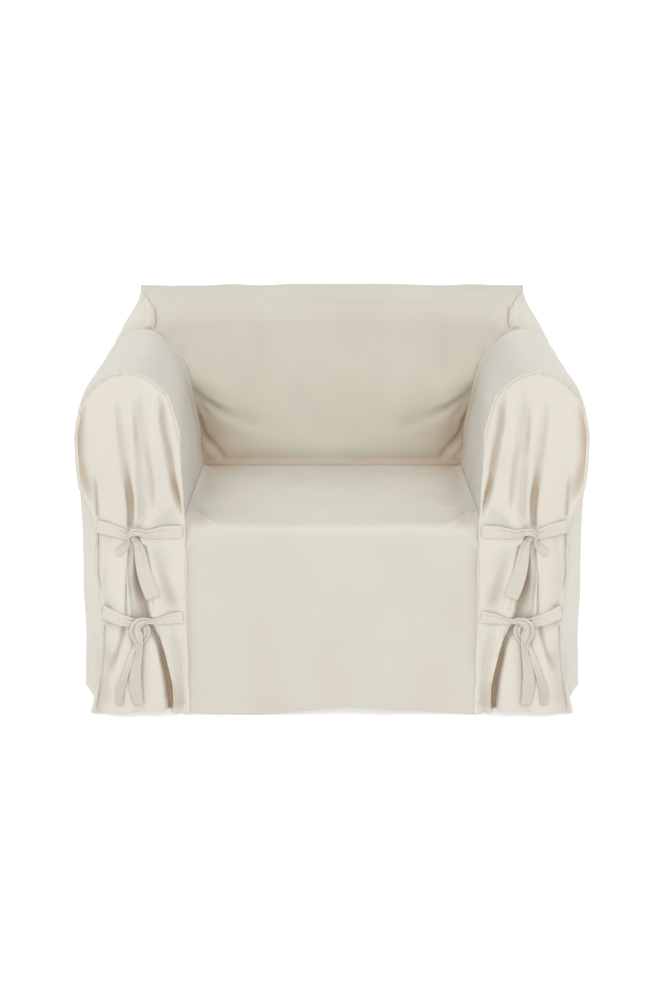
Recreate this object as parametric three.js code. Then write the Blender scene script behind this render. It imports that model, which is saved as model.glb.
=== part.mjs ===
// A loose cotton slipcover for a square armchair, with tape ties on both arm fronts.
// Millimetres, +Z up, the sitter faces -Y. The origin is on the floor, under the middle.
// Every cut piece of cloth is one closed thin sheet. The armchair itself is left out,
// so the cover is hollow and open underneath.
import * as THREE from 'three';

// ---- driving sizes -------------------------------------------------------------------
const CLOTH = 2.0;          // thickness of a panel
const TAPE = 1.6;           // thickness of a tie tape
const GAP = 0.5;            // clearance where one piece meets the next
const LIP = 4.0;            // how far a seam stands proud of the piece sewn behind it
const FRONT_Y = -419.5;     // front drop
const PROUD = 8;            // the arm fronts stand this far before the front drop
const SEAT_Z = 395;         // top of the seat
const TOP_Z = 786;          // top of the back
const FOOT = 300;           // from the centre plane to the inner arm, at the front
const FOOT_BACK = 290;      // the same at the back of the seat
const BACK_FOOT = 572;      // from the front drop to the foot of the inside back
const RECLINE = 0.197;      // the inside back leans back this much per unit of height
const MARGIN = 3;           // flat margin of the arm front inside its seam
// How the runs of each piece are shared out over its parameter, from 0 to 1.
const FULL_AT = 0.4;        // arm panel: reaches its full section
const MARGIN_AT = 0.94;     // arm front: flat margin under the arch
const TOP_AT = 0.6;         // inside back: turns over to the top seam
const TURN_AT = 0.4;        // seat and front: turns from the drop
const SEAT_AT = 0.6;        // seat and front: flat seat
const GUSSET_Z = 650;       // the gusset starts at this height on the outside back
const SEAT_TUCK = 9;        // the seat runs on this far behind the inside back
const ECRU = 0xe2dccd;
const ECRU_TAPE = 0xe4dfd2;

const joint = CLOTH / 2 + GAP;  // from the middle of a sheet to an edge that meets it squarely
const slantJoint = joint + 0.6; // the same where the edge meets it at a slant
const armFrontY = FRONT_Y - PROUD;          // middle of the arm front's flat margin
const { lerp, smoothstep, clamp } = THREE.MathUtils;

// ---- tables --------------------------------------------------------------------------
// Lines that run along the arm panel, from the outer hem over the top to the seat.
// a: distance from the centre plane; depth: from the front drop, null on the inside back.
// front is the seam with the arm front, full the section where the arm has its full width.
const ARM_LINES = [
  { line: 'outer hem', front: [488, 5], full: [526, 4], rear: [500, 6], depth: 860 },
  { line: 'low side', front: [465, 120], full: [521, 120], rear: [496, 120], depth: 860 },
  { line: 'lower tie', front: [463, 220], full: [519, 230], rear: [492, 230], depth: 860 },
  { line: 'between', front: [473, 320], full: [518, 330], rear: [490, 340], depth: 860 },
  { line: 'upper tie', front: [471, 405], full: [520, 430], rear: [489, 440], depth: 860 },
  { line: 'chest', front: [501, 482], full: [522, 510], rear: [488, 540], depth: 860 },
  { line: 'high side', front: [506, 585], full: [521, 590], rear: [487, 615], depth: 860 },
  { line: 'shoulder', front: [492, 647], full: [505, 648], rear: [487, 650], depth: 852 },
  { line: 'round', front: [469, 682], full: [480, 682], rear: [489, 677], depth: 700 },
  { line: 'outer crown', front: [439, 700], full: [445, 701], rear: [476, 690], depth: 624 },
  { line: 'crown', front: [403, 707], full: [408, 708], rear: [441, 700], depth: null },
  { line: 'inner crown', front: [368, 697], full: [372, 698], rear: [402, 695], depth: null },
  { line: 'inner round', front: [336, 669], full: [338, 668], rear: [365, 664], depth: null },
  { line: 'inner high', front: [312, 630], full: [313, 628], rear: [338, 616], depth: null },
  { line: 'inner middle', front: [307, 560], full: [308, 558], rear: [321, 545], depth: null },
  { line: 'inner low', front: [303, 470], full: [303, 470], rear: [303, 455], depth: null },
  { line: 'foot', front: [FOOT, 386], full: [FOOT, 386], rear: [FOOT_BACK, 386], depth: null },
];
const FULL_DEPTH = 130;     // depth at which the arm has its full width
const ARCH_FIRST = 6;       // rows of ARM_LINES where the arch of the arm front springs
const ARCH_LAST = 14;
const GUSSET_ROWS = [11, 7];// rows of ARM_LINES along the bottom edge of the gusset
const GUSSET_FOOT_Z = 700;  // lowest point of the gusset on the inside back

// Height by height, where each fold of the arm front runs (distance from the centre plane).
const FOLD_PLACES = [
  { z: 18, hollow: 471, crown: 442, edge: 416, tuck: 396, middle: 341, recess: 334, flap: 328, dip: 311 },
  { z: 105, hollow: 454, crown: 436, edge: 413, tuck: 398, middle: 352, recess: 344, flap: 340, dip: 320 },
  { z: 196, hollow: 451, crown: 431, edge: 412, tuck: 402, middle: 386, recess: 370, flap: 359, dip: 326 },
  { z: 285, hollow: 457, crown: 437, edge: 413, tuck: 407, middle: 400, recess: 382, flap: 370, dip: 340 },
  { z: 385, hollow: 459, crown: 437, edge: 412, tuck: 405, middle: 396, recess: 388, flap: 379, dip: 346 },
  { z: 451, hollow: 472, crown: 441, edge: 411, tuck: 404, middle: 394, recess: 374, flap: 347, dip: 313 },
  { z: 533, hollow: 496, crown: 452, edge: 433, tuck: 416, middle: 401, recess: 373, flap: 350, dip: 323 },
  { z: 594, hollow: 497, crown: 457, edge: 435, tuck: 419, middle: 401, recess: 385, flap: 361, dip: 333 },
];
// The same heights: how far each fold stands before (+) or behind (-) the flat margin.
const FOLD_DEPTHS = [
  { z: 18, hollow: -4, crown: 8, edge: 11, tuck: 9, middle: 12, recess: -24, flap: 5, dip: -7 },
  { z: 105, hollow: -6, crown: 7, edge: 6, tuck: 2, middle: 9, recess: -20, flap: 3, dip: -7 },
  { z: 196, hollow: -2, crown: 3, edge: 3, tuck: -12, middle: -3, recess: -16, flap: 3, dip: -3 },
  { z: 285, hollow: -5, crown: 8, edge: 8, tuck: -20, middle: -7, recess: -26, flap: 8, dip: -5 },
  { z: 385, hollow: -2, crown: 3, edge: 3, tuck: -14, middle: -6, recess: -13, flap: 3, dip: -3 },
  { z: 451, hollow: -5, crown: 8, edge: 8, tuck: -16, middle: -2, recess: -7, flap: 7, dip: -11 },
  { z: 533, hollow: -6, crown: 9, edge: 8, tuck: -6, middle: 4, recess: -3, flap: 8, dip: -10 },
  { z: 594, hollow: -5, crown: 7, edge: 6, tuck: -3, middle: 4, recess: -1, flap: 6, dip: -7 },
];
const FOLDS = ['hollow', 'crown', 'edge', 'tuck', 'middle', 'recess', 'flap', 'dip'];
// Where each fold starts on the arch seam: 0 at the outer springing, 1 at the inner one.
const ARCH_STARTS = {
  hollow: 0.16, crown: 0.34, edge: 0.42, tuck: 0.46,
  middle: 0.53, recess: 0.62, flap: 0.70, dip: 0.80,
};
// Inner seam of the arm front, and its hem from the inner corner to the outer one.
const INNER_SEAM = [
  { z: 0, a: 297 },
  { z: 200, a: 301 },
  { z: 386, a: FOOT },
  { z: 470, a: 303 },
  { z: 560, a: 307 },
];
const ARM_HEM = [
  { a: 297, z: 3 },
  { a: 329, z: 9 },
  { a: 341, z: 17 },
  { a: 372, z: 14 },
  { a: 430, z: 8 },
  { a: 488, z: 5 },
];

// The inside back above its straight face: side edge, depth and height, over to the top seam.
const BACK_TOP = [
  { a: 405, depth: 635, z: 716 },
  { a: 407, depth: 645, z: 745 },
  { a: 417, depth: 661, z: 768 },
  { a: 433, depth: 688, z: 783 },
  { a: 441, depth: 738, z: TOP_Z },
  { a: 443, depth: 806, z: 777 },
];
// The outside back from the hem to the top seam.
const OUTSIDE_BACK = [
  { z: 6, a: 504, depth: 866 },
  { z: 120, a: 500, depth: 862 },
  { z: 230, a: 496, depth: 860 },
  { z: 340, a: 494, depth: 860 },
  { z: 440, a: 493, depth: 860 },
  { z: 540, a: 492, depth: 860 },
  { z: 615, a: 491, depth: 860 },
  { z: 650, a: 488, depth: 860 },
  { z: 694, a: 474, depth: 856 },
  { z: 716, a: 462, depth: 851 },
  { z: 734, a: 452, depth: 845 },
  { z: 756, a: 449, depth: 829 },
  { z: 772, a: 448, depth: 813 },
  { z: 781, a: 447, depth: 807 },
];

// Hem of the front drop, from the left seam to the right one.
const FRONT_HEM = [
  { x: -298, z: 6, out: 5 },
  { x: -209, z: 3, out: 9 },
  { x: -138, z: 1, out: 5 },
  { x: -66, z: 9, out: 8 },
  { x: 25, z: 16, out: 3 },
  { x: 110, z: 13, out: 8 },
  { x: 222, z: 6, out: 4 },
  { x: 298, z: 3, out: 5 },
];
// The front drop turns over into the seat: depth and height of the middle of the cloth.
const SEAT_TURN = [
  { depth: 0, z: 355 },
  { depth: 1, z: 374 },
  { depth: 7, z: 388 },
  { depth: 20, z: 394.5 },
  { depth: 40, z: SEAT_Z },
];

// Soft folds of the inside back: both ends, half width and depth. a is from the centre.
const BACK_FOLDS = [
  { from: [330, 580], to: [175, 492], width: 24, depth: 9 },
  { from: [320, 530], to: [262, 440], width: 17, depth: 12 },
];

// Tapes: a is from the centre plane, out is forward of the arm front's flat margin.
// half is half the width; turn is the width's angle from upright, in degrees.
const TIES = {
  upper_outer: [
    { a: 470, out: 2.6, z: 399, half: 13, turn: -6 },
    { a: 440, out: 7, z: 392, half: 13, turn: -12 },
    { a: 417, out: 8, z: 384, half: 11, turn: -14 },
    { a: 402, out: 9, z: 379, half: 8, turn: -30 },
    { a: 393, out: 11, z: 370, half: 8, turn: -55 },
    { a: 388, out: 13, z: 352, half: 12, turn: -76 },
    { a: 379, out: 13.5, z: 310, half: 13, turn: -77 },
    { a: 366, out: 14, z: 254, half: 13.5, turn: -77 },
  ],
  upper_inner: [
    { a: 301, out: 2.6, z: 388, half: 13, turn: 0 },
    { a: 340, out: 7, z: 386, half: 12.5, turn: 2 },
    { a: 372, out: 9, z: 383, half: 10, turn: 2 },
    { a: 386, out: 14, z: 385, half: 7, turn: -4 },
    { a: 399, out: 18, z: 387, half: 7, turn: 8 },
    { a: 411, out: 17.5, z: 380, half: 7, turn: 52 },
    { a: 415, out: 14.5, z: 367, half: 7, turn: 66 },
    { a: 425, out: 12.5, z: 350, half: 8, turn: 58 },
  ],
  lower_outer: [
    { a: 464, out: 2.6, z: 221, half: 13, turn: -14 },
    { a: 434, out: 7, z: 206, half: 12.5, turn: -20 },
    { a: 410, out: 8, z: 194, half: 10, turn: -24 },
    { a: 396, out: 9, z: 186, half: 8, turn: -45 },
    { a: 393, out: 11, z: 172, half: 8, turn: -82 },
    { a: 401, out: 13, z: 150, half: 10, turn: -103 },
    { a: 416, out: 14.5, z: 100, half: 10.5, turn: -106 },
    { a: 434, out: 16, z: 24, half: 10.5, turn: -104 },
  ],
  lower_inner: [
    { a: 302, out: 2.6, z: 209, half: 12, turn: 8 },
    { a: 340, out: 7, z: 201, half: 9, turn: 12 },
    { a: 368, out: 9, z: 193, half: 6.5, turn: 12 },
    { a: 381, out: 14, z: 192, half: 6.5, turn: 4 },
    { a: 393, out: 18.5, z: 192, half: 6.5, turn: 18 },
    { a: 400, out: 19, z: 182, half: 7, turn: 76 },
    { a: 395, out: 18, z: 164, half: 9, turn: 98 },
    { a: 391, out: 18, z: 120, half: 11, turn: 92 },
    { a: 400, out: 19.5, z: 28, half: 11, turn: 85 },
  ],
};

// ---- helpers -------------------------------------------------------------------------
const point = (x, y, z) => new THREE.Vector3(x, y, z);
const bump = (distance, width) => Math.exp(-((distance / width) ** 2));
const evenly = (count) => Array.from({ length: count + 1 }, (_, i) => i / count);

// Smooth curve through rows of numbers, read by row number.
function track(rows, at) {
  const last = rows.length - 1;
  const i = clamp(Math.floor(at), 0, last - 1);
  const t = at - i;
  const before = rows[Math.max(i - 1, 0)];
  const after = rows[Math.min(i + 2, last)];
  return rows[i].map((start, k) => {
    const end = rows[i + 1][k];
    const leave = (end - before[k]) / 2;
    const arrive = (after[k] - start) / 2;
    return (2 * t ** 3 - 3 * t ** 2 + 1) * start + (t ** 3 - 2 * t ** 2 + t) * leave
      + (3 * t ** 2 - 2 * t ** 3) * end + (t ** 3 - t ** 2) * arrive;
  });
}

// Smooth value of one column of a table, looked up by another column that rises.
function lookUp(table, key, place, column) {
  const last = table.length - 1;
  if (place <= table[0][key]) return table[0][column];
  if (place >= table[last][key]) return table[last][column];
  const i = table.findIndex((row) => row[key] > place) - 1;
  const slope = (p, q) => (table[q][column] - table[p][column]) / (table[q][key] - table[p][key]);
  const span = table[i + 1][key] - table[i][key];
  const leave = slope(Math.max(i - 1, 0), i + 1) * span;
  const arrive = slope(i, Math.min(i + 2, last)) * span;
  const t = (place - table[i][key]) / span;
  return (2 * t ** 3 - 3 * t ** 2 + 1) * table[i][column] + (t ** 3 - 2 * t ** 2 + t) * leave
    + (3 * t ** 2 - 2 * t ** 3) * table[i + 1][column] + (t ** 3 - t ** 2) * arrive;
}

// A closed sheet on a grid of middle points: grid[i][j], front faces on the side of du x dv.
function sheetGeometry(grid, thickness) {
  const rows = grid.length;
  const columns = grid[0].length;
  const positions = [];
  const normalAt = (i, j) => {
    const du = grid[Math.min(i + 1, rows - 1)][j].clone().sub(grid[Math.max(i - 1, 0)][j]);
    const dv = grid[i][Math.min(j + 1, columns - 1)].clone().sub(grid[i][Math.max(j - 1, 0)]);
    return du.cross(dv).normalize();
  };
  for (const side of [0.5, -0.5]) {
    for (let i = 0; i < rows; i += 1) {
      for (let j = 0; j < columns; j += 1) {
        const p = grid[i][j].clone().addScaledVector(normalAt(i, j), side * thickness);
        positions.push(p.x, p.y, p.z);
      }
    }
  }
  const top = (i, j) => i * columns + j;
  const under = (i, j) => rows * columns + top(i, j);
  const index = [];
  const quad = (a, b, c, d) => index.push(a, b, c, a, c, d);
  for (let i = 0; i + 1 < rows; i += 1) {
    for (let j = 0; j + 1 < columns; j += 1) {
      quad(top(i, j), top(i + 1, j), top(i + 1, j + 1), top(i, j + 1));
      quad(under(i, j), under(i, j + 1), under(i + 1, j + 1), under(i + 1, j));
    }
  }
  const rim = [];
  for (let i = 0; i < rows; i += 1) rim.push([i, 0]);
  for (let j = 1; j < columns; j += 1) rim.push([rows - 1, j]);
  for (let i = rows - 2; i >= 0; i -= 1) rim.push([i, columns - 1]);
  for (let j = columns - 2; j > 0; j -= 1) rim.push([0, j]);
  rim.forEach(([i, j], k) => {
    const [m, n] = rim[(k + 1) % rim.length];
    quad(top(m, n), top(i, j), under(i, j), under(m, n));
  });
  const geometry = new THREE.BufferGeometry();
  geometry.setAttribute('position', new THREE.Float32BufferAttribute(positions, 3));
  geometry.setIndex(index);
  return geometry;
}

// The same geometry on the other side of the centre plane, turned right side out again.
function mirrored(geometry) {
  geometry.scale(-1, 1, 1);
  const index = Array.from(geometry.index.array);
  for (let i = 0; i < index.length; i += 3) [index[i], index[i + 1]] = [index[i + 1], index[i]];
  geometry.setIndex(index);
  return geometry;
}

// Mesh of one cut piece. at(u, v) gives its middle point for u and v from 0 to 1. A piece of
// the left side (-X) is the mirror image of the right one.
function sheet(name, us, vs, at, { thickness = CLOTH, colour = ECRU, left = false } = {}) {
  const grid = us.map((u) => vs.map((v) => at(u, v)));
  const whole = sheetGeometry(grid, thickness);
  const geometry = left ? mirrored(whole) : whole;
  geometry.computeVertexNormals();
  const material = new THREE.MeshStandardMaterial({ color: colour, roughness: 0.92, metalness: 0 });
  const mesh = new THREE.Mesh(geometry, material);
  mesh.name = name;
  return mesh;
}

// Patch between four edge curves that share corners: bottom(u), top(u), start(v), end(v).
function coons(bottom, top, start, end) {
  return (u, v) => {
    const across = bottom(u).lerp(top(u), v);
    const along = start(v).lerp(end(v), u);
    const corners = bottom(0).lerp(bottom(1), u).lerp(top(0).lerp(top(1), u), v);
    return across.add(along).sub(corners);
  };
}

// ---- shared surfaces -----------------------------------------------------------------
// Depth of the inside back's straight face at a height.
const backFace = (z) => FRONT_Y + BACK_FOOT + (z - SEAT_Z) * RECLINE;

const lastLine = ARM_LINES.length - 1;

// Rear edge of the arm panel: on the inside back, else at the depth that the table gives.
function rearEdge(row) {
  const [a, z] = track(ARM_LINES.map((line) => line.rear), row);
  const i = Math.min(Math.floor(row), lastLine - 1);
  const depths = [ARM_LINES[i], ARM_LINES[i + 1]]
    .map(({ depth }) => (depth === null ? backFace(z) : FRONT_Y + depth));
  return point(a, lerp(...depths, row - i) - joint, z);
}

// Front, full and rear sections of the arm at a row of ARM_LINES, whole or between rows.
function armSections(row) {
  const [frontA, frontZ] = track(ARM_LINES.map((line) => line.front), row);
  const [fullA, fullZ] = track(ARM_LINES.map((line) => line.full), row);
  return {
    front: point(frontA, armFrontY + slantJoint, frontZ),
    full: point(fullA, FRONT_Y + FULL_DEPTH, fullZ),
    rear: rearEdge(row),
  };
}

// The arm panel swells from the front seam to the full section, then runs straight back.
function armPanel(u, v) {
  const { front, full, rear } = armSections(u * lastLine);
  if (v >= FULL_AT) return full.lerp(rear, (v - FULL_AT) / (1 - FULL_AT));
  const share = v / FULL_AT;
  const y = lerp(front.y, full.y, share);
  return front.lerp(full, Math.sin(share * Math.PI / 2)).setY(y);
}

// ---- arm fronts ----------------------------------------------------------------------
// Point of the arch seam: 0 at the outer springing, 1 at the inner one.
const arch = (share) => armSections(lerp(ARCH_FIRST, ARCH_LAST, share)).front;

// The arch moved outwards (+) or inwards (-) in its own plane.
function archOffset(share, distance) {
  const step = 0.01;
  const along = arch(Math.min(share + step, 1)).sub(arch(Math.max(share - step, 0)));
  const p = arch(share);
  const length = Math.hypot(along.x, along.z);
  return { a: p.x + (along.z / length) * distance, z: p.z - (along.x / length) * distance };
}

// One line of the arm front from the hem to the arch, as rows that rise in height.
function frontLine(places, share) {
  const start = archOffset(share, -MARGIN);
  const end = archOffset(share, LIP);
  const body = places.filter(({ z }) => z < start.z - MARGIN);
  return [...body, { ...start, out: 0 }, { ...end, out: 0 }];
}
const hemAt = (a) => lookUp(ARM_HEM, 'a', a, 'z');
const foldPlaces = (fold) => FOLD_PLACES.map((row, i) => ({
  a: row[fold], z: i ? row.z : hemAt(row[fold]), out: FOLD_DEPTHS[i][fold],
}));
const seamPlaces = (seam, shift) => seam.map(({ a, z }, i) => (
  { a: a + shift, z: i ? z : hemAt(a), out: 0 }
));
const outerSeam = ARM_LINES.slice(0, ARCH_FIRST + 1).map(({ front: [a, z] }) => ({ a, z }));
const FRONT_LINES = [
  frontLine(seamPlaces(outerSeam, LIP), 0),
  frontLine(seamPlaces(outerSeam, -MARGIN), 0.06),
  ...FOLDS.map((fold) => frontLine(foldPlaces(fold), ARCH_STARTS[fold])),
  frontLine(seamPlaces(INNER_SEAM, MARGIN), 0.95),
  frontLine(seamPlaces(INNER_SEAM, -LIP), 1),
];
const lastFrontLine = FRONT_LINES.length - 1;

function armFront(u, v) {
  const rows = FRONT_LINES.map((line) => {
    const [hem, start, end] = [line[0].z, line[line.length - 2].z, line[line.length - 1].z];
    const z = v < MARGIN_AT ? lerp(hem, start, v / MARGIN_AT)
      : lerp(start, end, (v - MARGIN_AT) / (1 - MARGIN_AT));
    return [lookUp(line, 'z', z, 'a'), lookUp(line, 'z', z, 'out'), z];
  });
  const [a, out, z] = track(rows, u * lastFrontLine);
  return point(a, armFrontY - out, z);
}

// ---- back and seat -------------------------------------------------------------------
// Side edge of the inside back: one lip past the arm, then free above it.
const backEdgeLow = ARM_LINES.slice(GUSSET_ROWS[0])
  .map(({ rear: [a, z] }) => ({ a: a + LIP, z })).reverse();
const backEdge = [...backEdgeLow, BACK_TOP[0]];
const backFootZ = SEAT_Z + slantJoint;
const backRowAt = (z) => TOP_AT * (z - backFootZ) / (BACK_TOP[0].z - backFootZ);

// Side edge of the inside back, with its depth as y, for v from the seat to the top seam.
function backSide(v) {
  if (v <= TOP_AT) {
    const z = lerp(backFootZ, BACK_TOP[0].z, v / TOP_AT);
    return point(lookUp(backEdge, 'z', z, 'a'), backFace(z), z);
  }
  const at = (v - TOP_AT) / (1 - TOP_AT) * (BACK_TOP.length - 1);
  const i = Math.min(Math.floor(at), BACK_TOP.length - 2);
  const [from, to] = [BACK_TOP[i], BACK_TOP[i + 1]];
  const t = at - i;
  return point(lerp(from.a, to.a, t), FRONT_Y + lerp(from.depth, to.depth, t), lerp(from.z, to.z, t));
}

// How far a soft fold presses in at a place, between its two ends.
function foldDepth({ from, to, width, depth }, a, z) {
  const run = [to[0] - from[0], to[1] - from[1]];
  const length = Math.hypot(...run);
  const along = ((a - from[0]) * run[0] + (z - from[1]) * run[1]) / length ** 2;
  const off = ((a - from[0]) * run[1] - (z - from[1]) * run[0]) / length;
  return depth * bump(off, width) * smoothstep(along, -0.3, 0.2) * (1 - smoothstep(along, 0.6, 1.2));
}

function insideBack(u, v) {
  const p = backSide(v);
  const edge = p.x;
  p.x *= 2 * u - 1;
  const a = Math.abs(p.x);
  const free = smoothstep(edge - a, LIP * 2, LIP * 9) * smoothstep(p.z, SEAT_Z + LIP, SEAT_Z + LIP * 9);
  for (const fold of BACK_FOLDS) p.y += free * foldDepth(fold, a, p.z);
  return p;
}

const outsideBackAt = (z) => ({
  a: lookUp(OUTSIDE_BACK, 'z', z, 'a'), y: FRONT_Y + lookUp(OUTSIDE_BACK, 'z', z, 'depth'),
});
const outsideBackHeights = OUTSIDE_BACK.flatMap(({ z }, i) => (
  i < OUTSIDE_BACK.length - 1 && z >= GUSSET_Z ? [z, (z + OUTSIDE_BACK[i + 1].z) / 2] : [z]
));
const outsideBack = (u, z) => {
  const { a, y } = outsideBackAt(z);
  return point(a * (1 - 2 * u), y, z);
};

// Half the width of the seat: it just clears the inner arms.
function seatHalf(depth) {
  const back = clamp((depth - FULL_DEPTH) / (BACK_FOOT - FULL_DEPTH), 0, 1);
  return lerp(FOOT, FOOT_BACK, back) - joint;
}

// Seat and front drop in one piece: v runs up the drop, round the turn and back to the crease.
function seatAndFront(u, v) {
  const side = 2 * u - 1;
  if (v >= SEAT_AT) {
    const share = (v - SEAT_AT) / (1 - SEAT_AT);
    const depth = lerp(SEAT_TURN[SEAT_TURN.length - 1].depth, BACK_FOOT + SEAT_TUCK, share);
    return point(side * seatHalf(depth), FRONT_Y + depth, SEAT_Z);
  }
  const x = side * seatHalf(0);
  const edge = smoothstep(Math.abs(x), FOOT - LIP * 6, FOOT - LIP * 1.5);
  const lap = PROUD - CLOTH - GAP;
  if (v >= TURN_AT) {
    const rows = SEAT_TURN.map(({ depth, z }) => [depth, z]);
    const share = (v - TURN_AT) / (SEAT_AT - TURN_AT);
    const [depth, z] = track(rows, share * (rows.length - 1));
    return point(x, FRONT_Y + depth - lap * edge * (1 - smoothstep(share, 0, 0.5)), z);
  }
  const hem = lookUp(FRONT_HEM, 'x', x, 'z');
  const out = lookUp(FRONT_HEM, 'x', x, 'out') * (1 - v / TURN_AT) ** 1.5;
  return point(x, FRONT_Y - lerp(out, lap, edge), lerp(hem, SEAT_TURN[0].z, v / TURN_AT));
}

// ---- gusset at the side of the back ----------------------------------------------------
// It hangs behind the inside back's lip, over the arm panel's end and before the outside back.
const TOP_STEPS = BACK_TOP.length - 1;
const EAR_AT = TOP_AT + (1 - TOP_AT) * (3 / TOP_STEPS);
const gussetFootAt = backRowAt(GUSSET_FOOT_Z);

// The inside back's side edge, moved behind the middle of its cloth and in by one lip.
function behindBack(v, behind = slantJoint) {
  const step = 0.002;
  const run = backSide(Math.min(v + step, 1)).sub(backSide(v - step));
  const length = Math.hypot(run.y, run.z);
  const p = backSide(v);
  return point(p.x - LIP, p.y + (run.z / length) * behind, p.z - (run.y / length) * behind);
}
const gussetStart = (v) => (
  behindBack(lerp(gussetFootAt, EAR_AT, v), lerp(CLOTH + GAP * 2, slantJoint, v))
);
const gussetTop = (u) => behindBack(lerp(EAR_AT, 1, u));
function gussetBottom(u) {
  const p = armSections(lerp(...GUSSET_ROWS, u)).rear;
  const rear = outsideBackAt(p.z).y - slantJoint;
  p.y = lerp(p.y + slantJoint, rear, u ** 8);
  p.z += lerp(GAP, slantJoint, u);
  return p.lerp(gussetStart(0), (1 - u) ** 12);
}
function gussetEnd(v) {
  const [from, to] = [gussetBottom(1), gussetTop(1)];
  const seam = (z) => {
    const { a, y } = outsideBackAt(z);
    return point(a - LIP, y - slantJoint, z);
  };
  const p = seam(lerp(from.z, to.z, v));
  return p.add(from.sub(seam(from.z)).lerp(to.sub(seam(to.z)), v));
}
const gusset = coons(gussetBottom, gussetTop, gussetStart, gussetEnd);

// ---- ties ----------------------------------------------------------------------------
const tiePoint = (path) => (u, v) => {
  const rows = path.map(({ a, out, z, half, turn }) => [a, out, z, half, turn]);
  const [a, out, z, half, turn] = track(rows, u * (rows.length - 1));
  const angle = THREE.MathUtils.degToRad(turn);
  const across = lerp(-half, half, v);
  return point(a + Math.sin(angle) * across, armFrontY - out, z + Math.cos(angle) * across);
};

// ---- pieces --------------------------------------------------------------------------
const cover = new THREE.Group();
cover.name = 'armchair_slipcover';

const seatEdges = [0, 0.012, 0.035, 0.07, 0.12];
const seatAcross = [...seatEdges, ...evenly(8).map((t) => lerp(0.2, 0.8, t)),
  ...seatEdges.map((t) => 1 - t).reverse()];
const dropRows = evenly(5).map((t) => t * TURN_AT);
const turnRows = evenly(SEAT_TURN.length - 1).slice(1).map((t) => lerp(TURN_AT, SEAT_AT, t));
const seatRows = evenly(4).slice(1).map((t) => lerp(SEAT_AT, 1, t));
cover.add(sheet('seat_and_front', seatAcross, [...dropRows, ...turnRows, ...seatRows], seatAndFront));

const backHeights = [backFootZ, ...backEdge.slice(1).map(({ z }) => z)];
const backMiddles = backHeights.slice(1).map((z, i) => (z + backHeights[i]) / 2);
const backRows = [...backHeights, ...backMiddles].sort((p, q) => p - q).map(backRowAt);
const topRows = evenly(TOP_STEPS).slice(1).map((t) => lerp(TOP_AT, 1, t));
const backEdges = [0, 0.02, 0.05, 0.1];
const backAcross = [...backEdges, ...evenly(8).map((t) => lerp(0.16, 0.84, t)),
  ...backEdges.map((t) => 1 - t).reverse()];
cover.add(sheet('inside_back', backAcross, [...backRows, ...topRows], insideBack));
cover.add(sheet('outside_back', evenly(6), outsideBackHeights, outsideBack));

const armAcross = evenly(2 * lastLine);
const armAlong = [0, 0.1, 0.2, 0.3, FULL_AT, 0.7, 1];
const frontAcross = evenly(2 * lastFrontLine).filter((u, i, all) => i !== 1 && i !== all.length - 2);
const frontUp = [...evenly(14).map((t) => t * MARGIN_AT), 1];
const gussetAcross = evenly(2 * (GUSSET_ROWS[0] - GUSSET_ROWS[1]));
const gussetUp = [gussetFootAt, TOP_AT, ...topRows.slice(0, 3)]
  .map((v) => (v - gussetFootAt) / (EAR_AT - gussetFootAt));
for (const [name, left] of [['left', true], ['right', false]]) {
  cover.add(sheet(`arm_panel_${name}`, armAcross, armAlong, armPanel, { left }));
  cover.add(sheet(`arm_front_${name}`, frontAcross, frontUp, armFront, { left }));
  cover.add(sheet(`back_gusset_${name}`, gussetAcross, gussetUp, gusset, { left }));
  for (const [tie, path] of Object.entries(TIES)) {
    const steps = evenly(3 * (path.length - 1));
    const tape = { thickness: TAPE, colour: ECRU_TAPE, left };
    cover.add(sheet(`tie_${tie}_${name}`, steps, [0, 1], tiePoint(path), tape));
  }
}

export default cover;
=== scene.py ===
"""A loose cotton slipcover for a square armchair, with tape ties on both arm fronts.

The armchair is left out. Sizes in the tables are millimetres, +Z up, and the sitter faces -Y.
a is a distance from the centre plane, depth is measured back from the front drop, and out is
how far something stands before the cloth under it. The right side (+X) is made first, and
each left piece is its mirror image. Each piece is a grid of points through the middle of its
cloth, which is shaped, creased and then closed into a sheet with a thickness.
"""
import math

import bpy
import numpy as np
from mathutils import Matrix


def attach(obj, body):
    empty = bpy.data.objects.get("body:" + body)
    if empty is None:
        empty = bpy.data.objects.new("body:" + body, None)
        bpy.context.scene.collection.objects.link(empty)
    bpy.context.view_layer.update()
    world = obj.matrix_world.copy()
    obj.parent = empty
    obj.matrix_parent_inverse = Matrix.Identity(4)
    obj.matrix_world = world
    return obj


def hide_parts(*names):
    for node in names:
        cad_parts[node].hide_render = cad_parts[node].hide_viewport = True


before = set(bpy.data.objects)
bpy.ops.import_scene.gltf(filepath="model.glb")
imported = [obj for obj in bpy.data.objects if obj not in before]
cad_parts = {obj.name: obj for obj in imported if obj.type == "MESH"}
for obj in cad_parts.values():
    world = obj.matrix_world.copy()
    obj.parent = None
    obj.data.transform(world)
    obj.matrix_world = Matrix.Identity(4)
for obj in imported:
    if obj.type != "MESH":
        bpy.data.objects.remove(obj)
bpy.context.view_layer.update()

MM = 0.001
FRONT_Y = -419.5        # front drop
PROUD = 8               # the arm fronts stand this far before it
SEAT_Z = 395            # top of the seat
TOP_Z = 786             # top of the back
FOOT = 300              # centre plane to the inner arm, at the front
FOOT_BACK = 290         # the same at the back of the seat
BACK_FOOT = 572         # depth at the foot of the inside back
RECLINE = 0.197         # the inside back leans back this much per unit of height
FULL_DEPTH = 130        # depth at which the arm has its full width
LOW_LAG = 55            # how much further back it has that width at its hem
MARGIN = 1              # flat margin of the arm front inside its seam
MARGIN_AT = 0.94        # where that margin lies on the way up, from 0 at the hem to 1 at the lip
ARCH = (6, 14)          # rows of ARM_LINES where the arch of the arm front springs
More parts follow.
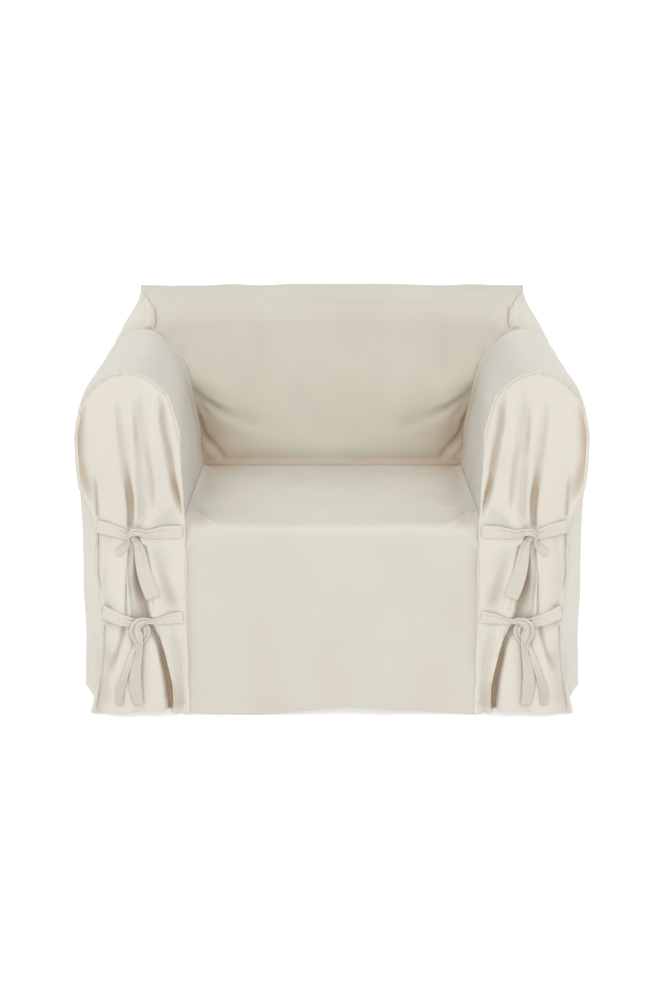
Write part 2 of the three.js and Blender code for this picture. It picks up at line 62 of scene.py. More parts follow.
GUSSET = (11, 7)        # rows of ARM_LINES along the bottom edge of the gusset
GUSSET_FOOT_Z = 700     # where the gusset starts beside the inside back
SEAT_TUCK = 9           # the seat runs this far behind the foot of the inside back
CLOTH = 1.6             # thickness of a panel
TAPE = 1.2              # thickness of a tie tape
CLEAR = 1.0             # from the middle of a sheet to an edge that meets it
LAP = 1.8               # between the middles of two sheets that lie on each other
LIP = 4.5               # seam allowance that stands proud of a seam
FLANGE = 10.0           # wider seam allowance of the inner seam below the seat
FLANGE_OUT = 6.0        # how far that one reaches past the seam's own line
HEM = 22                # depth of a hem
FULL_FOLD = 12          # cloth this deep in a fold gets the deepest painted shade
STITCH_SIZES = {"Stitch spacing": 4.4, "Stitch length": 3.1, "Thread width": 0.8}
ARM_FRONT_Y = FRONT_Y - PROUD


# ---- camera ------------------------------------------------------------------------------
def make_camera(height=1.411, distance=4.061, pitch=13.3, lens=75):
    data = bpy.data.cameras.new("camera")
    data.lens = lens
    data.sensor_width = 36
    camera = bpy.data.objects.new("camera", data)
    camera.location = (0, FRONT_Y * MM - distance, height)
    camera.rotation_euler = (math.radians(90 - pitch), 0, 0)
    bpy.context.scene.collection.objects.link(camera)
    bpy.context.scene.camera = camera


make_camera()

# ---- tables ------------------------------------------------------------------------------
# Lines that run along the arm panel, from the outer hem over the top to the seat: the seam
# with the arm front, the section where the arm is full, the rear edge, and the depth of that
# edge (None on the inside back). Each place is (a, z).
ARM_LINES = [
    # line            front       full        rear        depth
    ("outer hem",     (488, 5),   (526, 4),   (500, 6),   860),
    ("low side",      (465, 120), (521, 120), (496, 120), 860),
    ("lower tie",     (463, 220), (519, 230), (492, 230), 860),
    ("between",       (473, 320), (518, 330), (490, 340), 860),
    ("upper tie",     (471, 405), (520, 430), (489, 440), 860),
    ("chest",         (501, 482), (522, 510), (488, 540), 860),
    ("high side",     (506, 585), (521, 590), (487, 615), 860),
    ("shoulder",      (492, 647), (505, 648), (487, 650), 852),
    ("round",         (469, 682), (480, 682), (489, 677), 700),
    ("outer crown",   (439, 700), (445, 701), (476, 690), 624),
    ("crown",         (403, 707), (408, 708), (441, 700), None),
    ("inner crown",   (368, 697), (372, 698), (402, 695), None),
    ("inner round",   (336, 669), (338, 668), (365, 664), None),
    ("inner high",    (312, 630), (313, 628), (338, 616), None),
    ("inner middle",  (307, 560), (308, 558), (321, 545), None),
    ("inner low",     (303, 470), (303, 470), (303, 455), None),
    ("foot",          (FOOT, 386), (FOOT, 386), (FOOT_BACK, 386), None),
]
# Height by height: where each fold of the arm front runs, as a.
FOLDS = ("hollow", "crown", "edge", "tuck", "middle", "recess", "flap", "dip")
FOLD_PLACES = [
    # z    hollow crown edge tuck middle recess flap dip
    (18,   471, 442, 416, 396, 343, 332, 323, 311),
    (60,   462, 439, 415, 397, 347, 334, 325, 315),
    (105,  454, 436, 413, 398, 352, 342, 334, 320),
    (150,  452, 433, 412, 400, 360, 350, 345, 323),
    (196,  451, 431, 412, 402, 386, 370, 359, 326),
    (285,  457, 437, 413, 407, 400, 382, 370, 340),
    (385,  459, 437, 412, 405, 396, 388, 379, 346),
    (451,  472, 441, 411, 404, 394, 374, 347, 313),
    (533,  496, 452, 433, 416, 401, 373, 350, 323),
    (594,  497, 457, 435, 419, 401, 385, 361, 333),
]
# How far each fold stands out, at the same heights.
FOLD_DEPTHS = [
    # z    hollow crown edge tuck middle recess flap dip
    (18,   -4,    8,    11,  9,   12,    -15,   5,   -5),
    (60,   -5,    8,    9,   5,   11,    -16,   5,   -5),
    (105,  -5,    7,    6,   2,   9,     -16,   4,   -5),
    (150,  -4,    5,    5,   0,   5,     -13,   4,   -4),
    (196,  -2,    3,    3,   -3,  -5,    -17,   4,   -2),
    (285,  -4,    8,    8,   -1,  -5,    -22,   8,   -3),
    (385,  -1,    2,    2,   -2,  -2,    -5,    2,   -2),
    (451,  -3,    8,    7,   -2,  1,     -3,    5,   -3),
    (533,  -4,    9,    7,   2,   4,     0,     7,   -3),
    (594,  -4,    7,    6,   3,   4,     1,     6,   -2),
]
# Where each fold starts on the arch: 0 at its outer springing, 1 at the inner one.
ARCH_STARTS = dict(hollow=0.16, crown=0.34, edge=0.42, tuck=0.46,
                   middle=0.53, recess=0.62, flap=0.70, dip=0.80)
INNER_SEAM = [(0, 297), (200, 301), (386, FOOT), (470, 303), (560, 307)]        # z, a
ARM_HEM = [(297, 3), (329, 9), (341, 17), (372, 14), (430, 8), (488, 5)]        # a, z
# The inside back above its straight face, over to the top seam, and the outside back.
BACK_TOP = [
    # a    depth z
    (405,  635,  716),
    (407,  645,  745),
    (417,  661,  768),
    (433,  688,  783),
    (441,  738,  TOP_Z),
    (443,  806,  777),
]
OUTSIDE_BACK = [
    # z    a    depth
    (6,    504, 866),
    (120,  500, 862),
    (230,  496, 860),
    (340,  494, 860),
    (440,  493, 860),
    (540,  492, 860),
    (615,  491, 860),
    (650,  488, 860),
    (694,  474, 856),
    (716,  462, 851),
    (734,  452, 845),
    (756,  449, 829),
    (772,  448, 813),
    (781,  447, 807),
]
TOP_WAVES = [(-445, 0), (-313, -1), (-227, 1.6), (-179, -0.8), (-64, 3), (40, 1.5),
             (150, 2.6), (240, -0.6), (320, 1), (445, 0)]                        # x, lift
FRONT_HEM = [
    # x    z   out
    (-298, 6,  5),
    (-209, 3,  9),
    (-138, 1,  5),
    (-66,  9,  8),
    (25,   16, 3),
    (110,  13, 8),
    (222,  6,  4),
    (298,  3,  5),
]
SEAT_TURN = [(0, 355), (1, 374), (7, 388), (20, 394.5), (40, SEAT_Z)]           # depth, z


# ---- curves through tables -----------------------------------------------------------------
def ease(t, start=0.0, end=1.0):
    """0 before start, 1 after end, and a smooth rise between them."""
    t = np.clip((np.asarray(t, float) - start) / (end - start), 0, 1)
    return t * t * (3 - 2 * t)


def bell(distance, width):
    """1 at no distance, falling off smoothly over a width on both sides."""
    return np.exp(-(distance / width) ** 2)


def hermite(t, start, leave, end, arrive):
    return ((2 * t**3 - 3 * t**2 + 1) * start + (t**3 - 2 * t**2 + t) * leave
            + (3 * t**2 - 2 * t**3) * end + (t**3 - t**2) * arrive)


def track(rows, at):
    """Smooth curve through rows of numbers, read by row number."""
    rows = np.asarray(rows, float)
    at = np.asarray(at, float)
    last = len(rows) - 1
    i = np.clip(np.floor(at).astype(int), 0, last - 1)
    t = (at - i).reshape(at.shape + (1,) * (rows.ndim - 1))
    leave = (rows[i + 1] - rows[np.maximum(i - 1, 0)]) / 2
    arrive = (rows[np.minimum(i + 2, last)] - rows[i]) / 2
    return hermite(t, rows[i], leave, rows[i + 1], arrive)


def look_up(keys, values, place):
    """Smooth value for a place between keys that rise, level outside them."""
    keys, values = np.asarray(keys, float), np.asarray(values, float)
    place = np.clip(place, keys[0], keys[-1])
    last = len(keys) - 1
    i = np.clip(np.searchsorted(keys, place, side="right") - 1, 0, last - 1)
    span = keys[i + 1] - keys[i]
    before, after = np.maximum(i - 1, 0), np.minimum(i + 2, last)
    leave = (values[i + 1] - values[before]) / (keys[i + 1] - keys[before]) * span
    arrive = (values[after] - values[i]) / (keys[after] - keys[i]) * span
    return hermite((place - keys[i]) / span, values[i], leave, values[i + 1], arrive)


def column(table, number):
    return np.array([row[number] for row in table], float)


def read(table, place, number=1):
    """Smooth value of one column of a table, for places in its first column."""
    return look_up(column(table, 0), column(table, number), place)


def steps(start, *runs):
    """Places from start on: each run is (its end, its number of steps).

    The rows and columns of a piece are closest along its hems and seams.
    """
    places = [np.array([start], float)]
    for end, count in runs:
        places.append(np.linspace(places[-1][-1], end, count + 1)[1:])
    return np.concatenate(places)


def unevenness(x, y, size, seed):
    """Soft swells about `size` long, from -1 to 1, always the same for one seed."""
    random = np.random.default_rng(seed)
    total = 0
    for _ in range(6):
        turn, shift = random.uniform(0, 2 * math.pi, 2)
        length = size * random.uniform(0.7, 1.5)
        total = total + np.sin((x * math.cos(turn) + y * math.sin(turn)) * 2 * math.pi / length + shift)
    return total / 3.2


# ---- working the cloth ---------------------------------------------------------------------
ENDS = ("first_row", "last_row")
SIDES = ENDS + ("first_column", "last_column")


def normals(middle):
    """The way that each point of a grid of cloth faces."""
    across = np.cross(np.gradient(middle, axis=0), np.gradient(middle, axis=1))
    return across / np.maximum(np.linalg.norm(across, axis=2, keepdims=True), 1e-9)


def press(middle, amount):
    """Moves each point of a grid of cloth along its own normal, outwards if positive."""
    return middle + normals(middle) * np.asarray(amount)[..., None]


def from_edge(middle, side):
    """Distance of each point from one edge of its grid, measured along the cloth."""
    axis = 0 if side in ("first_row", "last_row") else 1
    run = np.cumsum(np.linalg.norm(np.diff(middle, axis=axis), axis=2), axis=axis)
    run = np.concatenate([np.zeros_like(run.take([0], axis)), run], axis=axis)
    return run.take([-1], axis) - run if side.startswith("last") else run


def from_edges(middle, sides):
    """Distance of each point from the nearest of some edges of its grid."""
    return np.minimum.reduce([from_edge(middle, side) for side in sides])


def along_edge(middle, side):
    """Distance of each point along that edge."""
    return from_edge(middle, "first_column" if side.endswith("row") else "first_row")


def seam(middle, side, lip=LIP, seed=1, furrow=0.9, pucker=0.7):
    """A stitched seam inside one edge: a fine furrow, small puckers beside it and a lip."""
    off, along = from_edge(middle, side), along_edge(middle, side)
    ripple = unevenness(along, along * 0, 17, seed) * pucker
    return (ripple * bell(off - lip, 9) + 0.5 * ripple * ease(lip - off, 0, lip)
            - furrow * bell(off - lip, 1.3))


def hem(middle, side, depth=HEM, seed=1):
    """A turned hem: the cloth is double up to its stitching, which draws it in a little."""
    off, along = from_edge(middle, side), along_edge(middle, side)
    ripple = unevenness(along, along * 0, 21, seed) * 0.5
    return (0.7 * (1 - ease(off, depth, depth + 3)) - 0.8 * bell(off - depth, 1.8)
            + ripple * bell(off - depth, 12))


def crease(places, path, width, out, steep=0.0, fade=(0.15, 0.3)):
    """A soft ridge (out above 0) or trough along a path, on cloth whose points are `places`.

    The side to the left of the path is narrower by `steep`. fade says over what share of its
    length the crease begins and ends.
    """
    path = track(path, np.linspace(0, len(path) - 1, 8 * len(path)))
    run = np.r_[0, np.cumsum(np.linalg.norm(np.diff(path, axis=0), axis=1))]
    best = np.full(places.shape[:2], 1e9)
    side, share = np.zeros_like(best), np.zeros_like(best)
    for k in range(len(path) - 1):
        start, step = path[k], path[k + 1] - path[k]
        length = max(np.hypot(*step), 1e-6)
        rel = places - start
        t = (rel @ step) / length**2
        held = np.clip(t, -1.5 if k == 0 else 0, 2.5 if k == len(path) - 2 else 1)
        gap = np.linalg.norm(rel - held[..., None] * step, axis=2)
        near = gap < best
        best = np.where(near, gap, best)
        side = np.where(near, np.sign(step[0] * rel[..., 1] - step[1] * rel[..., 0]), side)
        share = np.where(near, (run[k] + np.clip(held, 0, 1) * length) / run[-1], share)
    narrow = np.where(side > 0, width * (1 - steep), width)
    ends = ease(share, 0, fade[0]) * (1 - ease(share, 1 - fade[1], 1))
    return out * bell(best, narrow) * ends


# ---- finishes ------------------------------------------------------------------------------
def set_inputs(node, **values):
    """Sets inputs of a node by their names, with _ for each space."""
    for name, value in values.items():
        node.inputs[name.replace("_", " ")].default_value = value


def cotton(name, light, deep, thread, painted_shallow_shade=(0.91, 0.913, 0.92), hollow=(0.76, 0.61, 0.50),
           sheen=0.25, crumple=0.35, slub=0.35):
    """Plain woven cotton: threads, slubs, faint tone changes, fine crumpling, and painted shade in its
    folds.
    """
    material = bpy.data.materials.new(name)
    material.use_nodes = True
    nodes, links = material.node_tree.nodes, material.node_tree.links
    shader = nodes["Principled BSDF"]
    set_inputs(shader, Sheen_Weight=sheen, Sheen_Roughness=0.45, IOR=1.45)
    shader.inputs["Specular IOR Level"].default_value = 0.25

    def noise(source, scale, detail=2.0, stretch=None):
        node = nodes.new("ShaderNodeTexNoise")
        set_inputs(node, Scale=scale, Detail=detail)
        if stretch:
            mapping = nodes.new("ShaderNodeMapping")
            mapping.inputs["Scale"].default_value = stretch
            links.new(source, mapping.inputs["Vector"])
            source = mapping.outputs["Vector"]
        links.new(source, node.inputs["Vector"])
        return node.outputs["Fac"]

    def maths(kind, first, second):
        node = nodes.new("ShaderNodeMath")
        node.operation = kind
        for socket, value in zip(node.inputs, (first, second)):
            if isinstance(value, (int, float)):
                socket.default_value = value
            else:
                links.new(value, socket)
        return node.outputs["Value"]

    def threads(direction):
        wave = nodes.new("ShaderNodeTexWave")
        wave.bands_direction = direction
        set_inputs(wave, Scale=math.pi / (10 * thread * MM), Distortion=0.6, Detail=1.0)
        links.new(laid, wave.inputs["Vector"])
        return maths("SUBTRACT", wave.outputs["Fac"], 0.5)

    cut = nodes.new("ShaderNodeUVMap")
    cut.uv_map = "cloth"
    laid = cut.outputs["UV"]
    where = nodes.new("ShaderNodeTexCoord").outputs["Object"]
    weave = maths("MULTIPLY", threads("X"), threads("Y"))
    slubs = maths("ADD", noise(laid, 1.0, stretch=(900, 55, 1)), noise(laid, 1.0, stretch=(55, 900, 1)))
    clouds = noise(where, 5.0, 3.0)
    folds = noise(where, 38.0, 4.0)

    tone = maths("ADD", maths("MULTIPLY", clouds, 1.1), maths("MULTIPLY", slubs, 0.28))
    tone = maths("ADD", tone, maths("MULTIPLY", weave, 0.5))
    edge = nodes.new("ShaderNodeAttribute")
    edge.attribute_name = "edge"
    tone = maths("ADD", tone, maths("MULTIPLY", edge.outputs["Fac"], 0.18))
    ramp = nodes.new("ShaderNodeValToRGB")
    ramp.color_ramp.elements[0].position, ramp.color_ramp.elements[0].color = 0.45, (*deep, 1)
    ramp.color_ramp.elements[1].position, ramp.color_ramp.elements[1].color = 0.95, (*light, 1)
    links.new(tone, ramp.inputs["Fac"])
    # painted shade: the fold attribute darkens the colour towards a warm brown in creases and recesses
    painted_fold_shade = nodes.new("ShaderNodeAttribute")
    painted_fold_shade.attribute_name = "fold"
    fold_shade_ramp = nodes.new("ShaderNodeValToRGB")
    stops = fold_shade_ramp.color_ramp.elements
    stops[0].color, stops[1].color = (1, 1, 1, 1), (*hollow, 1)
    stops.new(0.2).color = (*painted_shallow_shade, 1)
    links.new(painted_fold_shade.outputs["Fac"], fold_shade_ramp.inputs["Fac"])
    shade = nodes.new("ShaderNodeMix")
    shade.data_type, shade.blend_type = "RGBA", "MULTIPLY"
    shade.inputs["Factor"].default_value = 1.0
    links.new(ramp.outputs["Color"], shade.inputs[6])
    links.new(fold_shade_ramp.outputs["Color"], shade.inputs[7])
    links.new(shade.outputs[2], shader.inputs["Base Color"])

    rough = nodes.new("ShaderNodeMapRange")
    set_inputs(rough, To_Min=0.82, To_Max=0.97)
    links.new(maths("MULTIPLY", slubs, 0.5), rough.inputs["Value"])
    links.new(rough.outputs["Result"], shader.inputs["Roughness"])

    fine = nodes.new("ShaderNodeBump")
    set_inputs(fine, Strength=slub, Distance=thread * MM * 0.35)
    links.new(maths("ADD", weave, maths("MULTIPLY", slubs, 0.6)), fine.inputs["Height"])
    broad = nodes.new("ShaderNodeBump")
    set_inputs(broad, Strength=crumple, Distance=1.2 * MM)
    links.new(folds, broad.inputs["Height"])
    links.new(fine.outputs["Normal"], broad.inputs["Normal"])
    links.new(broad.outputs["Normal"], shader.inputs["Normal"])
    return material


PANEL = cotton("ecru cotton", light=(0.685, 0.655, 0.58), deep=(0.65, 0.615, 0.54), thread=0.7)
RIBBON = cotton("ecru cotton tape", light=(0.655, 0.615, 0.545), deep=(0.62, 0.575, 0.505),
                thread=0.5, crumple=0.5)


def thread_finish(name="sewing thread", tone=(0.82, 0.79, 0.72)):
    """Twisted cotton thread, lit a little more sharply than the cloth."""
    material = bpy.data.materials.new(name)
    material.use_nodes = True
    nodes, links = material.node_tree.nodes, material.node_tree.links
    shader = nodes["Principled BSDF"]
    set_inputs(shader, Base_Color=(*tone, 1), Sheen_Weight=0.3, Sheen_Roughness=0.4)
    where = nodes.new("ShaderNodeTexCoord").outputs["Object"]
    twist = nodes.new("ShaderNodeTexWave")
    twist.bands_direction = "DIAGONAL"
    set_inputs(twist, Scale=math.pi / (10 * 0.8 * MM), Distortion=1.0)
    links.new(where, twist.inputs["Vector"])
    rough = nodes.new("ShaderNodeMapRange")
    set_inputs(rough, To_Min=0.6, To_Max=0.85)
    links.new(twist.outputs["Fac"], rough.inputs["Value"])
    links.new(rough.outputs["Result"], shader.inputs["Roughness"])
    bump = nodes.new("ShaderNodeBump")
    set_inputs(bump, Strength=0.5, Distance=0.15 * MM)
    links.new(twist.outputs["Fac"], bump.inputs["Height"])
    links.new(bump.outputs["Normal"], shader.inputs["Normal"])
    return material


THREAD = thread_finish()


# ---- meshes --------------------------------------------------------------------------------
def mirrored(middle):
    """The same cloth on the other side of the centre plane, still facing outwards."""
    return middle[::-1] * np.array([-1, 1, 1])


def hollows(middle, reach=9):
    """How deep each point lies in a fold: its distance behind the cloth for `reach` around it."""
    around = middle
    for axis in (0, 1):
        for _ in range(3):
            padded = np.concatenate([around.take([0] * reach, axis), around,
                                     around.take([-1] * reach, axis)], axis=axis)
            total = np.cumsum(padded, axis=axis)
            total = np.concatenate([np.zeros_like(total.take([0], axis)), total], axis=axis)
            wide = 2 * reach + 1
            n = middle.shape[axis]
            around = (total.take(range(wide, wide + n), axis) - total.take(range(n), axis)) / wide
    return np.clip(((around - middle) * normals(middle)).sum(axis=2), 0, FULL_FOLD)


def solid_sheet(middle, thickness, deep=0.0, strength=1.0):
    """Points, faces, cut places, worn edges and painted fold shade of a closed sheet on a grid.

    strength scales the painted shade of its folds, and deep, more painted shade, is added to it.
    """
    rows, columns = middle.shape[:2]
    number = np.arange(rows * columns).reshape(rows, columns)
    rim = np.concatenate([number[:, 0], number[-1, 1:], number[-2::-1, -1], number[0, -2:0:-1]])
    flat, facing = middle.reshape(-1, 3), normals(middle).reshape(-1, 3)
    run = np.roll(flat[rim], -1, axis=0) - np.roll(flat[rim], 1, axis=0)
    outwards = np.cross(run, facing[rim])
    outwards /= np.maximum(np.linalg.norm(outwards, axis=1, keepdims=True), 1e-9)
    half = thickness / 2
    points = np.concatenate([flat + facing * half, flat - facing * half,
                             flat[rim] + outwards * half * 0.8])
    under, edge = rows * columns, 2 * rows * columns
    a, b, c, d = number[:-1, :-1], number[1:, :-1], number[1:, 1:], number[:-1, 1:]
    k = np.arange(len(rim))
    after = (k + 1) % len(rim)
    faces = np.concatenate([
        np.stack([a, b, c, d], axis=2).reshape(-1, 4),
        np.stack([a, d, c, b], axis=2).reshape(-1, 4) + under,
        np.stack([rim[after], rim[k], edge + k, edge + after], axis=1),
        np.stack([edge + after, edge + k, under + rim[k], under + rim[after]], axis=1),
    ])
    u = from_edge(middle, "first_row").mean(axis=1, keepdims=True) + np.zeros((rows, columns))
    v = from_edge(middle, "first_column").mean(axis=0, keepdims=True) + np.zeros((rows, columns))
    place = np.stack([u, v], axis=2).reshape(-1, 2) * MM
    near = from_edges(middle, SIDES).reshape(-1)
    worn = bell(near, 2.5)
    # painted shade: darker where the cloth lies deep in its folds, plus the given deep shade
    fold = np.clip((hollows(middle) * strength / FULL_FOLD + deep).reshape(-1), 0, 1)
    return (points * MM, faces, np.concatenate([place, place, place[rim]]),
            np.concatenate([worn, worn, np.ones(len(rim))]), np.concatenate([fold, fold, fold[rim]]))


def sheet(name, middle, material, thickness=CLOTH, deep=0.0, strength=1.0):
    """One piece of cloth: a closed sheet with rounded edges and painted shade as in solid_sheet."""
    points, faces, places, worn, painted_fold_shade = solid_sheet(middle, thickness, deep, strength)
    mesh = bpy.data.meshes.new(name)
    mesh.from_pydata(points.tolist(), [], faces.tolist())
    mesh.polygons.foreach_set("use_smooth", np.ones(len(faces), bool))
    for title, values in (("edge", worn), ("fold", painted_fold_shade)):
        attribute = mesh.attributes.new(title, "FLOAT", "POINT")
        attribute.data.foreach_set("value", values.astype(np.float32))
    layer = mesh.uv_layers.new(name="cloth")
    corners = np.zeros(len(mesh.loops), np.int32)
    mesh.loops.foreach_get("vertex_index", corners)
    layer.data.foreach_set("uv", places[corners].astype(np.float32).ravel())
    mesh.materials.append(material)
    piece = bpy.data.objects.new(name, mesh)
    bpy.context.scene.collection.objects.link(piece)
    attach(piece, "root")
    return piece


def stitch_tree():
    """Geometry Nodes: rows of stitches laid along lines, each stitch flat on its cloth."""
    tree = bpy.data.node_groups.new("stitches", "GeometryNodeTree")
    nodes, links = tree.nodes, tree.links

    def socket(name, kind, way="INPUT", default=None):
        made = tree.interface.new_socket(name, in_out=way, socket_type=kind)
        if default is not None:
            made.default_value = default

    socket("Lines", "NodeSocketGeometry")
    for name, size in STITCH_SIZES.items():
        socket(name, "NodeSocketFloat", default=size * MM)
    socket("Thread", "NodeSocketMaterial")
    socket("Stitches", "NodeSocketGeometry", "OUTPUT")
    given, result = nodes.new("NodeGroupInput"), nodes.new("NodeGroupOutput")
    curve = nodes.new("GeometryNodeMeshToCurve")
    points = nodes.new("GeometryNodeCurveToPoints")
    points.mode = "LENGTH"
    links.new(given.outputs["Lines"], curve.inputs["Mesh"])
    links.new(curve.outputs["Curve"], points.inputs["Curve"])
    links.new(given.outputs["Stitch spacing"], points.inputs["Length"])
    capsule = nodes.new("GeometryNodeMeshUVSphere")
    set_inputs(capsule, Segments=6, Rings=4, Radius=0.5)
    size = nodes.new("ShaderNodeCombineXYZ")
    links.new(given.outputs["Stitch length"], size.inputs["X"])
    links.new(given.outputs["Thread width"], size.inputs["Y"])
    links.new(given.outputs["Thread width"], size.inputs["Z"])
    facing = nodes.new("GeometryNodeInputNamedAttribute")
    facing.data_type = "FLOAT_VECTOR"
    facing.inputs["Name"].default_value = "facing"
    along = nodes.new("FunctionNodeAlignRotationToVector")
    along.axis = "X"
    links.new(points.outputs["Tangent"], along.inputs["Vector"])
    flat = nodes.new("FunctionNodeAlignRotationToVector")
    flat.axis, flat.pivot_axis = "Z", "X"
    links.new(along.outputs["Rotation"], flat.inputs["Rotation"])
    links.new(facing.outputs["Attribute"], flat.inputs["Vector"])
    copies = nodes.new("GeometryNodeInstanceOnPoints")
    links.new(points.outputs["Points"], copies.inputs["Points"])
    links.new(capsule.outputs["Mesh"], copies.inputs["Instance"])
    links.new(flat.outputs["Rotation"], copies.inputs["Rotation"])
    links.new(size.outputs["Vector"], copies.inputs["Scale"])
    real = nodes.new("GeometryNodeRealizeInstances")
    finish = nodes.new("GeometryNodeSetMaterial")
    links.new(copies.outputs["Instances"], real.inputs["Geometry"])
    links.new(real.outputs["Geometry"], finish.inputs["Geometry"])
    links.new(given.outputs["Thread"], finish.inputs["Material"])
    links.new(finish.outputs["Geometry"], result.inputs["Stitches"])
    return tree


STITCHES = stitch_tree()


def stitching(name, lines):
    """One mesh of stitches along lines; each line is its points and the cloth's normals there."""
    points, facing, edges = [], [], []
    for places, straight in lines:
        first = len(points)
        points += (places * MM).tolist()
        facing += straight.tolist()
        edges += [(first + k, first + k + 1) for k in range(len(places) - 1)]
    mesh = bpy.data.meshes.new(name + "_lines")
    mesh.from_pydata(points, edges, [])
    attribute = mesh.attributes.new("facing", "FLOAT_VECTOR", "POINT")
    attribute.data.foreach_set("vector", np.array(facing, np.float32).ravel())
    carrier = bpy.data.objects.new(name + "_lines", mesh)
    bpy.context.scene.collection.objects.link(carrier)
    modifier = carrier.modifiers.new("stitches", "NODES")
    modifier.node_group = STITCHES
    names = {item.name: item.identifier for item in STITCHES.interface.items_tree
             if item.in_out == "INPUT"}
    for title, size in STITCH_SIZES.items():
        modifier[names[title]] = size * MM
    modifier[names["Thread"]] = THREAD
    bpy.context.view_layer.update()
    sewn = carrier.evaluated_get(bpy.context.evaluated_depsgraph_get())
    made = bpy.data.meshes.new_from_object(sewn)
    made.name = name
    bpy.data.objects.remove(carrier)
    made.polygons.foreach_set("use_smooth", np.ones(len(made.polygons), bool))
    piece = bpy.data.objects.new(name, made)
    bpy.context.scene.collection.objects.link(piece)
    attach(piece, "root")
    return piece


def line_at(middle, side, off, thickness=CLOTH):
    """Line on the face of the cloth at a distance from one of its edges."""
    distance, facing = from_edge(middle, side), normals(middle)
    surface = middle + facing * thickness / 2
    if side.endswith("column"):
        distance, surface, facing = (x.swapaxes(0, 1) for x in (distance, surface, facing))
    if side.startswith("last"):
        distance, surface, facing = distance[::-1], surface[::-1], facing[::-1]
    i = np.clip((distance < off).sum(axis=0), 1, len(distance) - 1)
    k = np.arange(distance.shape[1])
    t = np.clip((off - distance[i - 1, k]) / (distance[i, k] - distance[i - 1, k]), 0, 1)[:, None]
    return (surface[i - 1, k] * (1 - t) + surface[i, k] * t, facing[i, k])


# ---- surfaces that pieces share ------------------------------------------------------------
ARM_LAST = len(ARM_LINES) - 1
ARM_FRONT, ARM_FULL, ARM_REAR = (column(ARM_LINES, n) for n in (1, 2, 3))


def back_face(z):
    """Depth of the inside back's straight face at a height, as y."""
    return FRONT_Y + BACK_FOOT + (z - SEAT_Z) * RECLINE


def pocket(z):
    """How far the foot of the inside back is drawn in beside the arms, at a height."""
    return 20 * ease(z, 400, 455) * (1 - ease(z, 500, 600)) + 6 * (1 - ease(z, 400, 440))


def placed(a, y, z):
    """Points from their three coordinates, spread over one grid."""
    return np.stack(np.broadcast_arrays(a, y, z), axis=-1).astype(float)


def rear_edge(row):
    """Rear edge of the arm panel at rows of ARM_LINES, whole or between."""
    a, z = np.moveaxis(track(ARM_REAR, row), -1, 0)
    i = np.clip(np.floor(row).astype(int), 0, ARM_LAST - 1)
    own = np.array([np.nan if line[4] is None else FRONT_Y + line[4] for line in ARM_LINES])
    face = back_face(z)
    start = np.where(np.isnan(own[i]), face, own[i])
    end = np.where(np.isnan(own[i + 1]), face, own[i + 1])
    tucked = pocket(z) * ease(row, 12, 13)
    return placed(a, start + (end - start) * (row - i) + tucked - CLEAR, z)


def arm_front_edge(row):
    """Front edge of the arm panel, behind its seam with the arm front, at rows of ARM_LINES."""
    a, z = np.moveaxis(track(ARM_FRONT, row), -1, 0)
    return placed(a, ARM_FRONT_Y + LAP, z)


def arm_outwards(row):
    """Direction away from the arm at its front edge, in the plane of the arm front."""
    run = arm_front_edge(np.minimum(row + 0.05, ARM_LAST)) - arm_front_edge(np.maximum(row - 0.05, 0))
    away = placed(run[..., 2], 0, -run[..., 0])
    return away / np.linalg.norm(away, axis=-1, keepdims=True)


# ---- arm panels ----------------------------------------------------------------------------
# Creases on the arm panels: path as (depth, z), half width, out, steepness of one side.
ARM_CREASES_OUTER = [
    ([(60, 20), (72, 240), (64, 470)], 26, -3.5, 0.2),
    ([(330, 10), (318, 230), (340, 430)], 34, 4.0, 0.0),
    ([(560, 10), (590, 260), (610, 480)], 40, -4.0, 0.1),
    ([(800, 640), (700, 560), (560, 520)], 22, 3.0, 0.3),
    ([(820, 600), (760, 480), (700, 330)], 26, -2.6, 0.2),
]
ARM_CREASES_INNER = [
    ([(20, 452), (90, 424), (170, 412)], 10, 4.0, 0.3),
    ([(20, 478), (70, 462), (130, 436)], 8, -4.0, 0.2),
    ([(30, 505), (80, 490), (140, 470)], 9, -2.5, 0.2),
    ([(500, 620), (540, 540), (560, 470)], 16, -2.2, 0.2),
]


def arm_form(row):
    """The arm panel before its folds: a lip, a swell to its full width, then straight back."""
    front, rear = arm_front_edge(row), rear_edge(row)
    a, z = np.moveaxis(track(ARM_FULL, row), -1, 0)
    low = 1 - ease(row, 0, 2.2)
    full = placed(a, FRONT_Y + FULL_DEPTH + LOW_LAG * low, z)
    share = steps(0, (0.08, 8), (1, 18))[:, None, None]
    low = low[:, None]
    swell = front + (full - front) * (np.sin(share * math.pi / 2) * (1 - low) + share**2.4 * low)
    swell[..., 1] = front[..., 1] + (full - front)[..., 1] * share[..., 0]
    straight = full + (rear - full) * steps(0, (0.93, 62), (1, 14))[1:, None, None]
    lip = np.array([LIP, LIP * 0.7, LIP * 0.35])[:, None, None]
    lips = front + arm_outwards(row) * lip * (1 - ease(row, 14.3, 15.6))[:, None]
    return np.concatenate([lips, swell, straight])


